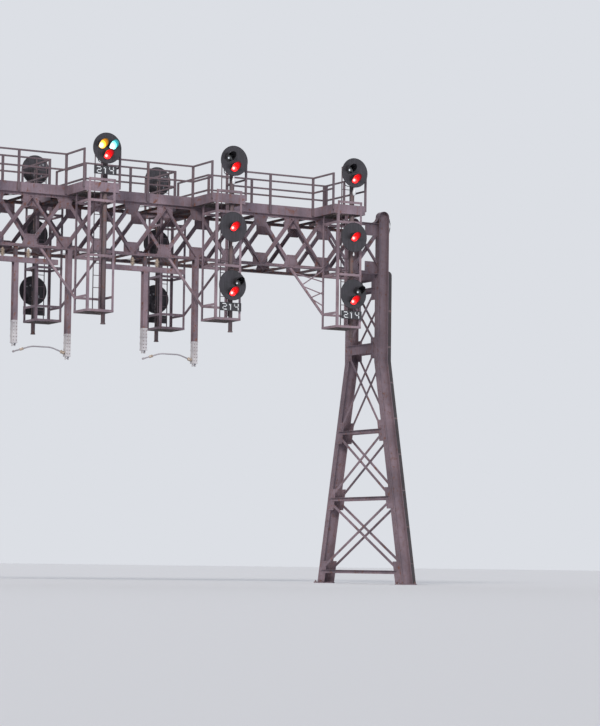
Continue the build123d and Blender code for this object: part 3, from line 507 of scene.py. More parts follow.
class Paints:
    """Every finish on the gantry, each built once."""

    def __init__(self) -> None:
        """Builds the finishes."""
        steel, grating, target, plate, lens, pale = Slot
        self.truss = Coat(WeatheredSteelPaint("weathered_paint_truss"), steel)
        self.tower = Coat(WeatheredSteelPaint("weathered_paint_tower", paint="#7C6C76", rust_colour="#66473C",
                                              blotch_mm=95.0), steel)
        # Back chords, lateral bracing, walkway bearers and beam straps: darker paint and soot that are painted
        # shade between and under parts; the heavy rust is real weathering.
        self.inner = Coat(WeatheredSteelPaint("weathered_paint_inner_painted_shade", paint="#5A4F58", soot="#352F37",
                                              rust=Rust.HEAVY), steel)
        self.edge = Coat(WeatheredSteelPaint("weathered_paint_edge_plates", paint="#887884",
                                             blotch_mm=210.0), steel)
        self.rail = Coat(WeatheredSteelPaint("weathered_paint_rails", paint="#6E6068", rust=Rust.LIGHT,
                                             blotch_mm=60.0), steel)
        self.cage = Coat(WeatheredSteelPaint("weathered_paint_cages", paint="#94828D", rust=Rust.LIGHT,
                                             blotch_mm=90.0), steel)
        self.pipe = Coat(WeatheredSteelPaint("weathered_paint_masts", paint="#6C5F62", blotch_mm=80.0), steel)
        self.rivet = Coat(WeatheredSteelPaint("weathered_paint_rivets", paint="#6F5F63", rust=Rust.HEAVY,
                                              blotch_mm=45.0), steel)
        self.end = Coat(WeatheredSteelPaint("aluminium_paint_hanger_ends", paint="#CBCACE", soot="#97959C",
                                            rust_colour="#7A5F50", rust=Rust.LIGHT, blotch_mm=70.0), pale)
        self.arm = Coat(WeatheredSteelPaint("aluminium_paint_steady_arms", paint="#A9A6AE", soot="#77747C",
                                            rust_colour="#6E5648", rust=Rust.LIGHT, blotch_mm=50.0), steel)
        self.duct = Coat(WeatheredSteelPaint("weathered_paint_duct", paint="#3B373C", soot="#29262B",
                                             rust_colour="#4A352D", rust=Rust.LIGHT), steel)
        self.zinc = Coat(DippedZinc("dipped_zinc_grating"), grating)
        self.hasp = Coat(DippedZinc("dipped_zinc_hasps", light="#C3C8D0", dark="#9CA1AA", dirt="#7B7880"))
        self.target = Coat(BakedEnamel("baked_enamel_targets"), target)
        self.hood = Coat(BakedEnamel("baked_enamel_hoods", enamel="#19181C", dust="#343139"), target)
        self.housing = Coat(BakedEnamel("baked_enamel_housings", enamel="#2C2B31", dust="#57535C"), target)
        self.plate = Coat(BakedEnamel("baked_enamel_plates", enamel="#26252A", dust="#47444B"), plate)
        self.porcelain = Coat(GlazedPorcelain())
        self.white = Coat(SignWhite())
        self.glass = {aspect: Coat(PressedLensGlass(aspect), lens) for aspect in Aspect}
        # Hood linings that glow with painted spilt light from the lit lenses.
        self.lit = {aspect: Coat(LampLitEnamel(aspect), target) for aspect in Aspect if aspect is not Aspect.DARK}


class Shape:
    """A mesh being put together from simple solids, in the frame's metres."""

    def __init__(self) -> None:
        """Starts with nothing drawn."""
        self.points: list[Vector] = []
        self.faces: list[tuple[int, ...]] = []
        self.smooth: list[bool] = []

    def add(self, points: Sequence[Vector], faces: Iterable[Sequence[int]], smooth: bool = False) -> None:
        """Adds points and the faces between them.

        Args:
            points: the corners.
            faces: the faces, by corner.
            smooth: whether the faces are shaded smooth.
        """
        first = len(self.points)
        self.points.extend(points)
        for face in faces:
            self.faces.append(tuple(first + i for i in face))
            self.smooth.append(smooth)

    def loft(self, rings: Sequence[Sequence[Vector]], smooth: bool = False, closed: bool = True) -> None:
        """Adds a skin through rings of points, each with the same count.

        Args:
            rings: the rings, in order along the solid.
            smooth: whether the sides are shaded smooth.
            closed: whether the first and the last ring get end faces.
        """
        count = len(rings[0])
        points = [p for ring in rings for p in ring]
        sides = [(r * count + i, r * count + (i + 1) % count, (r + 1) * count + (i + 1) % count,
                  (r + 1) * count + i) for r in range(len(rings) - 1) for i in range(count)]
        first = len(self.points)
        self.add(points, sides, smooth)
        if closed:
            self.faces.append(tuple(first + i for i in reversed(range(count))))
            self.faces.append(tuple(first + (len(rings) - 1) * count + i for i in range(count)))
            self.smooth += [False, False]

    def block(self, low: Sequence[float], high: Sequence[float]) -> None:
        """Adds a box.

        Args:
            low: one of its corners.
            high: the corner across from it.
        """
        (x0, x1), (y0, y1), (z0, z1) = (sorted(pair) for pair in zip(low, high))
        ring = [(x0, y0), (x1, y0), (x1, y1), (x0, y1)]
        self.loft([[Vector((x, y, z)) for x, y in ring] for z in (z0, z1)])

    def rod(self, start: Sequence[float], end: Sequence[float], radius: float, sides: int = 12) -> None:
        """Adds a round bar.

        Args:
            start: the middle of its first end.
            end: the middle of its other end.
            radius: its radius.
            sides: how many sides the bar has.
        """
        a, b = Vector(start), Vector(end)
        turn = (b - a).to_track_quat("Z", "Y")
        self.loft([[at + turn @ Vector((radius * math.cos(t), radius * math.sin(t), 0.0))
                    for t in self.turns(sides)] for at in (a, b)], smooth=sides > 6)

    def tube(self, path: Sequence[Vector], radius: float, sides: int) -> None:
        """Adds a bent round bar.

        Args:
            path: the points along its middle line.
            radius: its radius.
            sides: how many sides it has.
        """
        rings = []
        for i, point in enumerate(path):
            along = (path[min(i + 1, len(path) - 1)] - path[max(i - 1, 0)]).normalized()
            turn = along.to_track_quat("Z", "Y")
            rings.append([point + turn @ Vector((radius * math.cos(t), radius * math.sin(t), 0.0))
                          for t in self.turns(sides)])
        self.loft(rings, smooth=True)

    def lathe(self, profile: Sequence[tuple[float, float]], at: Vector, axis: Vector, sides: int = 24,
              smooth: bool = True, closed: bool = True) -> None:
        """Adds a turned solid.

        Args:
            profile: (radius, distance along the axis) pairs, from one end to the other.
            at: where distance 0 is.
            axis: the direction of the axis.
            sides: how many sides the solid has.
            smooth: whether its sides are shaded smooth.
            closed: whether it has end faces.
        """
        turn = axis.normalized().to_track_quat("Z", "Y")
        self.loft([[at + turn @ Vector((r * math.cos(t), r * math.sin(t), z)) for t in self.turns(sides)]
                   for r, z in profile], smooth, closed)

    def rivet(self, at: Vector, out: Vector, radius: float) -> None:
        """Adds a snap head: a low dome on a face."""
        self.lathe([(radius, -0.2 * radius), (0.86 * radius, 0.38 * radius), (0.4 * radius, 0.66 * radius)],
                   at, out, sides=7)

    def bolt(self, at: Vector, out: Vector, radius: float) -> None:
        """Adds a hexagon head on a washer, with the bolt's end above it.

        Args:
            at: the middle of its seat.
            out: the direction in which it stands out.
            radius: the head's radius.
        """
        out = out.normalized()
        self.rod(at, at + out * 0.25 * radius, 1.25 * radius, 10)
        self.rod(at + out * 0.25 * radius, at + out * 1.1 * radius, radius, 6)
        self.rod(at + out * 1.1 * radius, at + out * 1.8 * radius, 0.5 * radius, 8)

    @staticmethod
    def turns(sides: int) -> list[float]:
        """The angles of a ring's corners."""
        return [math.tau * i / sides for i in range(sides)]

    def piece(self, name: str, coat: Coat, *replaced: str, uvs: Sequence[tuple[float, float]] = ()) -> None:
        """Makes the mesh into a piece that rides on the gantry.

        Args:
            name: the piece's name.
            coat: its finish.
            replaced: the CAD nodes that it stands for.
            uvs: each point's place in the texture, if it has one.
        """
        mesh = bpy.data.meshes.new(name)
        mesh.from_pydata(self.points, [], self.faces)
        mesh.polygons.foreach_set("use_smooth", self.smooth)
        mesh.materials.append(coat.material)
        mesh.update()
        if uvs:
            layer = mesh.uv_layers.new(name=UV_LAYER)
            for loop in mesh.loops:
                layer.data[loop.index].uv = uvs[loop.vertex_index]
        piece = bpy.data.objects.new(name, mesh)
        bpy.context.scene.collection.objects.link(piece)
        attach(piece, ROOT)
        if replaced:
            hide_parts(*replaced)
        LOG.info("%s: %d faces", name, len(mesh.polygons))


@dataclass(frozen=True)
class Box:
    """The lowest and highest corners of one solid."""

    low: Vector
    high: Vector

    @property
    def middle(self) -> Vector:
        """The point half way between the corners."""
        return (self.low + self.high) / 2

    @property
    def size(self) -> Vector:
        """The lengths of the sides."""
        return self.high - self.low

    @property
    def sense(self) -> float:
        """The sense of Y in which the solid faces: away from the middle of the bridge."""
        return sign(self.middle.y)

    @property
    def look(self) -> Vector:
        """The direction in which the solid faces."""
        return Vector((0.0, self.sense, 0.0))

    @property
    def front(self) -> float:
        """The Y of the side that faces away from the middle of the bridge."""
        return self.high.y if self.sense > 0 else self.low.y

    @property
    def back(self) -> float:
        """The Y of the side that faces the middle of the bridge."""
        return self.low.y if self.sense > 0 else self.high.y


def solids(node: str) -> list[Box]:
    """Finds the separate solids of a CAD node.

    Args:
        node: the node's name.

    Returns:
        The box of each solid, from left to right and then from low to high.
    """
    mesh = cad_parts[node].data
    spots: dict[tuple[int, ...], int] = {}
    spot_of = [spots.setdefault(tuple(round(c * 1e5) for c in v.co), len(spots)) for v in mesh.vertices]
    parent = list(range(len(spots)))

    def top(i: int) -> int:
        """The spot that stands for the solid that spot i is in."""
        while parent[i] != i:
            parent[i] = parent[parent[i]]
            i = parent[i]
        return i

    for face in mesh.polygons:
        first, *rest = (spot_of[v] for v in face.vertices)
        for other in rest:
            parent[top(other)] = top(first)
    groups: dict[int, list[Vector]] = {}
    for vertex, spot in zip(mesh.vertices, spot_of):
        groups.setdefault(top(spot), []).append(vertex.co)
    boxes = [Box(Vector(map(min, *g)), Vector(map(max, *g))) for g in groups.values()]
    return sorted(boxes, key=lambda b: (round(b.middle.x, 3), round(b.middle.y, 3), round(b.middle.z, 3)))


def dress(coat: Coat, *nodes: str) -> None:
    """Gives CAD nodes a finish.

    Args:
        coat: the finish.
        nodes: the nodes' names.
    """
    for node in nodes:
        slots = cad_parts[node].material_slots
        for slot in slots:
            slot.material = coat.material
        if not slots:
            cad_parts[node].data.materials.append(coat.material)


def sign(value: float) -> float:
    """Gives -1 for a negative value and 1 for any other."""
    return math.copysign(1.0, value)


@dataclass
class Truss:
    """The two riveted webs, the chords and the bracing between them."""

    paints: Paints
    panel: float = 0.9144
    panels: int = 19
    gusset_width: float = 0.43
    gusset_tip: float = 0.25
    gusset_height: float = 0.33
    gusset_face: float = 0.0045
    angle_thickness: float = 0.009
    rivet_radius: float = 0.013
    rivet_pitch: float = 0.078
    chord_pitch: float = 0.1524
    edge: float = 0.028

    def __post_init__(self) -> None:
        """Takes the other sizes from the frame."""
        self.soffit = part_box("front_bottom_chord")[0].z
        self.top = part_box("front_top_chord")[1].z
        self.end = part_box("front_top_chord")[1].x
        self.leg = solids("front_top_chord")[0].size.z
        self.half_span = self.panel * self.panels / 2
        low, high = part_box("front_truss_web")
        self.web = abs(low.y + high.y) / 2

    def build(self) -> None:
        """Dresses the truss and sets its rivets."""
        p = self.paints
        dress(p.truss, "front_truss_web", "back_truss_web", "front_top_chord", "front_bottom_chord")
        # The back chords and the lateral bracing take the darker coat with painted shade.
        dress(p.inner, "back_top_chord", "back_bottom_chord", "top_lateral_bracing", "bottom_lateral_bracing")
        dress(p.truss, "corner_fillets")
        self.rivets().piece("truss_rivets", p.rivet)

    def rivets(self) -> Shape:
        """Sets rivets round each gusset and along each chord.

        Returns:
            All the rivets' heads.
        """
        shape = Shape()
        angle_face = self.gusset_face + self.angle_thickness
        for side in (-1.0, 1.0):
            y = side * self.web
            for out in (-1.0, 1.0):
                look = Vector((0.0, out, 0.0))
                for top in (True, False):
                    edge, inward = (self.top, -1.0) if top else (self.soffit, 1.0)
                    count = int(2 * self.end / self.chord_pitch)
                    for i in range(count):
                        x = -self.end + (i + 0.5) * 2 * self.end / count
                        shape.rivet(Vector((x, y + out * angle_face, edge + inward * 0.6 * self.leg)), look,
                                    self.rivet_radius)
                    for k in range(1, self.panels):
                        self.gusset(shape, k, top, edge, inward, y + out * self.gusset_face, look)
        return shape

    def gusset(self, shape: Shape, k: int, top: bool, edge: float, inward: float, y: float,
               look: Vector) -> None:
        """Sets the rivets of one gusset on one face.

        Args:
            shape: what the rivets are added to.
            k: the panel point's number from the left.
            top: whether the gusset is on the top chord.
            edge: the height of the chord's outer edge.
            inward: the sense of Z from that edge into the truss.
            y: the plate's face.
            look: the direction that the face looks.
        """
        x = k * self.panel - self.half_span
        tapered = (k % 2 == 1) == top
        tip = (self.gusset_tip if tapered else self.gusset_width) / 2 - self.edge
        half = self.gusset_width / 2 - self.edge
        z0, z1 = edge + inward * (self.leg + self.edge), edge + inward * (self.gusset_height - self.edge)
        steps = max(2, int(abs(z1 - z0) / self.rivet_pitch) + 1)
        for s in (-1.0, 1.0):
            for i in range(steps + 1):
                t = i / steps
                shape.rivet(Vector((x + s * (half + (tip - half) * t), y, z0 + (z1 - z0) * t)), look,
                            self.rivet_radius)
        for t in (-0.34, 0.34):
            shape.rivet(Vector((x + t * tip, y, z1)), look, self.rivet_radius)


@dataclass
class Towers:
    """The legs, their struts, crossed flats, gussets, feet and cable ducts."""

    paints: Paints
    rivet_radius: float = 0.013
    rivet_pitch: float = 0.1524
    flange_edge: float = 0.035
    leg_depth: float = 0.2
    bend: float = 5.85
    cable_radius: float = 0.011
    anchor_radius: float = 0.026
    anchor_margin: float = 0.038
    saddles: int = 8
    lowest_saddle: float = 0.5
    saddle_pitch: float = 0.95

    def build(self) -> None:
        """Dresses the towers and adds their rivets, anchor bolts, duct saddles and cables."""
        p = self.paints
        for side in ("left", "right"):
            dress(p.tower, f"{side}_front_leg", f"{side}_back_leg")
            dress(p.truss, f"{side}_tower_struts", f"{side}_tower_braces", f"{side}_tower_gussets")
        dress(p.tower, "base_plates")
        dress(p.duct, "cable_risers")
        self.rivets().piece("tower_rivets", p.rivet)
        self.anchors().piece("anchor_bolts", p.rivet)
        self.duct_bands().piece("duct_bands", p.pipe)
        self.leg_cables().piece("leg_cables", p.duct)

    def rivets(self) -> Shape:
        """Sets rivets on each gusset, and down the flanges of the legs.

        Returns:
            All the rivets' heads.
        """
        shape = Shape()
        for side in ("left", "right"):
            middle = sum(c.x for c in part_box(f"{side}_front_leg")) / 2
            for plate in solids(f"{side}_tower_gussets"):
                out = sign(plate.middle.x - middle)
                face = plate.high.x if out > 0 else plate.low.x
                self.grid(shape, plate, face, out)
            for leg in (f"{side}_front_leg", f"{side}_back_leg"):
                self.flange_rows(shape, leg, middle)
        return shape

    def grid(self, shape: Shape, plate: Box, face: float, out: float) -> None:
        """Sets two columns of rivets on the leg's side of a gusset, and one rivet at each inner corner.

        Args:
            shape: what the rivets are added to.
            plate: the gusset.
            face: the X of its outer face.
            out: the sense of X in which that face looks.
        """
        sense = sign(plate.middle.y)
        inner = plate.low.y if sense > 0 else plate.high.y
        rows = max(3, int(plate.size.z / 0.11))
        slope = max(plate.size.y - 0.32, 0.0)
        for i in range(rows):
            z = plate.low.z + 0.04 + i * (plate.size.z - 0.08) / (rows - 1)
            lean = sense * slope * (1 - (z - plate.low.z) / plate.size.z)
            for column in (0.25, 0.15):
                y = inner + sense * column + lean
                shape.rivet(Vector((face, y, z)), Vector((out, 0.0, 0.0)), self.rivet_radius)
        for z in (plate.low.z + 0.05, plate.high.z - 0.05):
            y = inner + sense * (0.04 + slope * (1.0 if z < plate.middle.z else 0.0))
            shape.rivet(Vector((face, y, z)), Vector((out, 0.0, 0.0)), self.rivet_radius)

    def leg_line(self, leg: str, z: float) -> float:
        """Follows the middle of a leg, which is upright above the bend and splayed below it.

        Args:
            leg: the leg's name.
            z: a height.

        Returns:
            The Y of the leg's middle there.
        """
        low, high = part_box(leg)
        sense = sign(low.y)
        foot = max(abs(low.y), abs(high.y)) - self.leg_depth / 2
        upright = min(abs(low.y), abs(high.y)) + self.leg_depth / 2
        return sense * (upright + (foot - upright) * max(self.bend - z, 0.0) / self.bend)

    def flange_rows(self, shape: Shape, leg: str, middle: float) -> None:
        """Sets a row of rivets down each edge of a leg's two flanges.

        Args:
            shape: what the rivets are added to.
            leg: the leg's name.
            middle: the X of the leg's middle.
        """
        low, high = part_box(leg)
        rows = int((high.z - 0.35) / self.rivet_pitch)
        for i in range(rows):
            z = 0.15 + i * self.rivet_pitch
            for out in (-1.0, 1.0):
                for side in (-1.0, 1.0):
                    at = Vector((middle + out * (high.x - low.x) / 2,
                                 self.leg_line(leg, z) + side * (self.leg_depth / 2 - self.flange_edge), z))
                    shape.rivet(at, Vector((out, 0.0, 0.0)), self.rivet_radius)

    def anchors(self) -> Shape:
        """Sets a nut on a stud at each corner of each base plate.

        Returns:
            The nuts and studs.
        """
        shape = Shape()
        for plate in solids("base_plates"):
            for sx in (-1.0, 1.0):
                for sy in (-1.0, 1.0):
                    at = Vector((plate.middle.x + sx * (plate.size.x / 2 - self.anchor_margin),
                                 plate.middle.y + sy * (plate.size.y / 2 - self.anchor_margin), plate.high.z))
                    shape.bolt(at, UP, self.anchor_radius)
        return shape

    def duct_bands(self) -> Shape:
        """Puts a steel saddle on each side of each cable duct at every metre or so.

        Returns:
            The saddles.
        """
        shape = Shape()
        lap, half, depth, set_back = 0.004, 0.06, 0.05, 0.0005
        for duct in solids("cable_risers"):
            right = duct.middle.x > 0
            outer = duct.high.x - set_back if right else duct.low.x + set_back
            inner = duct.low.x if right else duct.high.x
            for i in range(self.saddles):
                z = self.lowest_saddle + i * self.saddle_pitch
                y = self.leg_line(self.duct_leg(duct), z + depth / 2)
                for side in (-1.0, 1.0):
                    shape.block((inner, y + side * half, z), (outer, y + side * (half + lap), z + depth))
        return shape

    @staticmethod
    def duct_leg(duct: Box) -> str:
        """Names the leg that a duct runs up."""
        return "right_front_leg" if duct.middle.x > 0 else "left_back_leg"

    def leg_cables(self) -> Shape:
        """Loops a stiff cable from each duct's top up to the head of its leg, held by two clips.

        Returns:
            The cables with their clips.
        """
        shape = Shape()
        for duct in solids("cable_risers"):
            end = sign(duct.middle.x)
            leg = self.duct_leg(duct)
            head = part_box(leg)[1].z
            flange = max(abs(c.x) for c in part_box(leg))
            y = self.leg_line(leg, head) - sign(duct.middle.y) * 0.02
            stations = ((0.03, duct.high.z - 0.10), (0.045, duct.high.z + 0.10), (0.012, duct.high.z + 0.40),
                        (0.012, head - 0.75), (0.05, head - 0.62), (0.095, head - 0.42), (0.10, head - 0.30),
                        (0.07, head - 0.17), (0.012, head - 0.13))
            shape.tube([Vector((end * (flange + out), y, z)) for out, z in stations], self.cable_radius, 10)
            for z in (duct.high.z + 0.45, head - 0.80):
                shape.block((end * flange, y - 0.03, z), (end * (flange + 0.026), y + 0.03, z + 0.03))
        return shape


@dataclass
class Walkway:
    """The walkway and its platforms: open grating, edge plates, rails and their fixings."""

    paints: Paints
    bearing_pitch: float = 0.030
    bearing_thickness: float = 0.005
    cross_pitch: float = 0.1
    cross_radius: float = 0.004
    bolt_radius: float = 0.010
    bolt_pitch: float = 0.45
    bolt_margin: float = 0.05

    def build(self) -> None:
        """Dresses the walkway, lays its grating and sets its bolts."""
        p = self.paints
        # The bearers under the deck take the darker coat with painted shade.
        dress(p.inner, "walkway_bearers")
        dress(p.edge, "walkway_fascias", "platform_side_fascias", "platform_front_fascias")
        dress(p.rail, "walkway_railings", "platform_railings")
        for node in ("walkway_deck", "platform_decks", "cage_floors"):
            self.grating(node).piece(f"{node}_grating", p.zinc, node)
        self.fixings().piece("railing_bolts", p.rivet)

    def grating(self, node: str) -> Shape:
        """Lays bearing bars on edge, with round bars across them, in place of a solid board.

        Args:
            node: the CAD node that the grating stands for.

        Returns:
            The grating.
        """
        shape = Shape()
        for board in solids(node):
            low, high = board.low, board.high
            along_x = board.size.x < board.size.y
            count = max(2, round((board.size.x if along_x else board.size.y) / self.bearing_pitch))
            half = self.bearing_thickness / 2
            start, span = (low.x, board.size.x) if along_x else (low.y, board.size.y)
            for i in range(count + 1):
                c = start + half + i * (span - 2 * half) / count
                if along_x:
                    shape.block((c - half, low.y, low.z), (c + half, high.y, high.z))
                else:
                    shape.block((low.x, c - half, low.z), (high.x, c + half, high.z))
            z = high.z - self.cross_radius
            start, span = (low.y, board.size.y) if along_x else (low.x, board.size.x)
            count = max(2, round(span / self.cross_pitch))
            for i in range(count + 1):
                c = start + self.cross_radius + i * (span - 2 * self.cross_radius) / count
                ends = ((low.x, c, z), (high.x, c, z)) if along_x else ((c, low.y, z), (c, high.y, z))
                shape.rod(ends[0], ends[1], self.cross_radius, sides=4)
        return shape

    def fixings(self) -> Shape:
        """Sets bolts where rails are fixed to the edge plates.

        Returns:
            The bolts.
        """
        shape = Shape()
        for plate in solids("walkway_fascias") + solids("platform_front_fascias"):
            outermost = abs(plate.middle.y) > 0.5 or plate.low.y > 0.1
            if plate.size.x < plate.size.y or not outermost:
                continue
            y, out = (plate.low.y, -1.0) if plate.middle.y < 0 else (plate.high.y, 1.0)
            margin, count = self.bolt_margin, max(2, round(plate.size.x / self.bolt_pitch))
            for i in range(count):
                x = plate.low.x + margin + i * (plate.size.x - 2 * margin) / (count - 1)
                shape.rivet(Vector((x, y, plate.low.z + margin)), Vector((0.0, out, 0.0)), self.bolt_radius)
        return shape


@dataclass
class Cages:
    """The climbing cages with their braces and ladders, and the masts that they hold."""

    paints: Paints
    rivet_radius: float = 0.009
    conduit_radius: float = 0.014
    outer_bars: float = 1.6
    end_cages: float = 5.0
    flat_half: float = 0.016

    def build(self) -> None:
        """Dresses the cages and masts, and adds their fixings and cables."""
        p = self.paints
        dress(p.cage, "cage_uprights", "cage_rings", "cage_braces")
        dress(p.rail, "ladders")
        dress(p.pipe, "mast_clamps")
        self.fixings().piece("cage_rivets", p.rivet)
        self.masts().piece("smooth_masts", p.pipe, "mast_pipes")
        self.clamp_bolts().piece("mast_clamp_bolts", p.rivet)
        self.lacing().piece("brace_lacing", p.cage)
        self.conduits().piece("mast_conduits", p.duct)

    def fixings(self) -> Shape:
        """Sets two rivets at each end of each ring's front and back bars.

        Returns:
            The rivets' heads.
        """
        shape = Shape()
        for ring in solids("cage_rings"):
            if ring.size.x < ring.size.y:
                continue
            outside = abs(ring.middle.y) > self.outer_bars
            y, sense = (ring.front, ring.sense) if outside else (ring.back, -ring.sense)
            look = Vector((0.0, sense, 0.0))
            for x in (ring.low.x + 0.02, ring.low.x + 0.045, ring.high.x - 0.02, ring.high.x - 0.045):
                shape.rivet(Vector((x, y, ring.middle.z)), look, self.rivet_radius)
        return shape

    def clamp_bolts(self) -> Shape:
        """Sets two bolts through each side of each clamp's arm.

        Returns:
            The bolts.
        """
        shape = Shape()
        for clamp in solids("mast_clamps"):
            y = clamp.front - clamp.sense * 0.03
            for side in (-1.0, 1.0):
                for z in (clamp.low.z + 0.022, clamp.high.z - 0.022):
                    shape.bolt(Vector((clamp.middle.x + side * 0.03, y, z)), Vector((side, 0.0, 0.0)), 0.009)
        return shape

    def lacing(self) -> Shape:
        """Laces the braces of the two cages at the ends of the bridge with crossed flats.

        Returns:
            The flats.
        """
        shape = Shape()
        rows = ((0.10, 0.30), (0.38, 0.06), (0.38, 0.56), (0.64, 0.52), (0.64, 0.80))
        for brace in solids("cage_braces"):
            if -brace.sense * brace.middle.x < self.end_cages:
                continue
            inner, outer = (brace.low.x, brace.high.x) if brace.sense < 0 else (brace.high.x, brace.low.x)
            high, low = Vector((inner, brace.back, brace.high.z)), Vector((outer, brace.front, brace.low.z))
            top = Vector((outer, brace.front, brace.high.z))
            for on_brace, on_post in rows:
                shape.rod(high.lerp(low, on_brace), top.lerp(low, on_post), self.flat_half, 4)
            shape.rod(high + (top - high) * 0.06, top, 0.02, 4)
        return shape

    def masts(self) -> Shape:
        """Turns each mast as a smooth pipe with a low domed cap and a flange at its foot.

        Returns:
            The masts.
        """
        shape = Shape()
        for mast in solids("mast_pipes"):
            radius = mast.size.x / 2
            top = Vector((mast.middle.x, mast.middle.y, mast.high.z))
            shape.rod((mast.middle.x, mast.middle.y, mast.low.z), top, radius, 28)
            shape.lathe([(radius + 0.006, -0.03), (radius + 0.006, 0.004), (radius * 0.8, 0.022),
                         (radius * 0.3, 0.032)], top, UP)
            foot = Vector((mast.middle.x, mast.middle.y, mast.low.z))
            shape.lathe([(radius + 0.012, 0.0), (radius + 0.012, 0.02), (radius, 0.03)], foot, UP)
        return shape

    def conduits(self) -> Shape:
        """Runs a pair of cables down the back of each mast, with a loop to each lamp housing.

        Returns:
            The cables.
        """
        shape = Shape()
        masts = solids("mast_pipes")
        for mast in masts:
            sense = sign(mast.middle.y)
            radius = mast.size.x / 2 + self.conduit_radius
            for shift in (-0.6, 0.5):
                x = mast.middle.x + radius * math.sin(shift)
                y = mast.middle.y - sense * radius * math.cos(shift)
                shape.rod((x, y, mast.low.z + 0.4), (x, y, mast.high.z - 0.1), self.conduit_radius, 8)
        for housing in solids("lamp_housings"):
            mast = min(masts, key=lambda m: (m.middle.xy - housing.middle.xy).length)
            sense = sign(mast.middle.y)
            back = mast.middle.y - sense * (mast.size.y / 2 + self.conduit_radius)
            start = Vector((mast.middle.x, back, housing.middle.z - 0.26))
            end = Vector((housing.middle.x - 0.06, mast.middle.y + sense * mast.size.y * 0.6, housing.middle.z))
            points = [start.lerp(end, t) + Vector((-0.12 * math.sin(math.pi * t), 0.0,
                                                   -0.10 * math.sin(math.pi * t)))
                      for t in (i / 8 for i in range(9))]
            shape.tube(points, self.conduit_radius * 0.7, 8)
        return shape


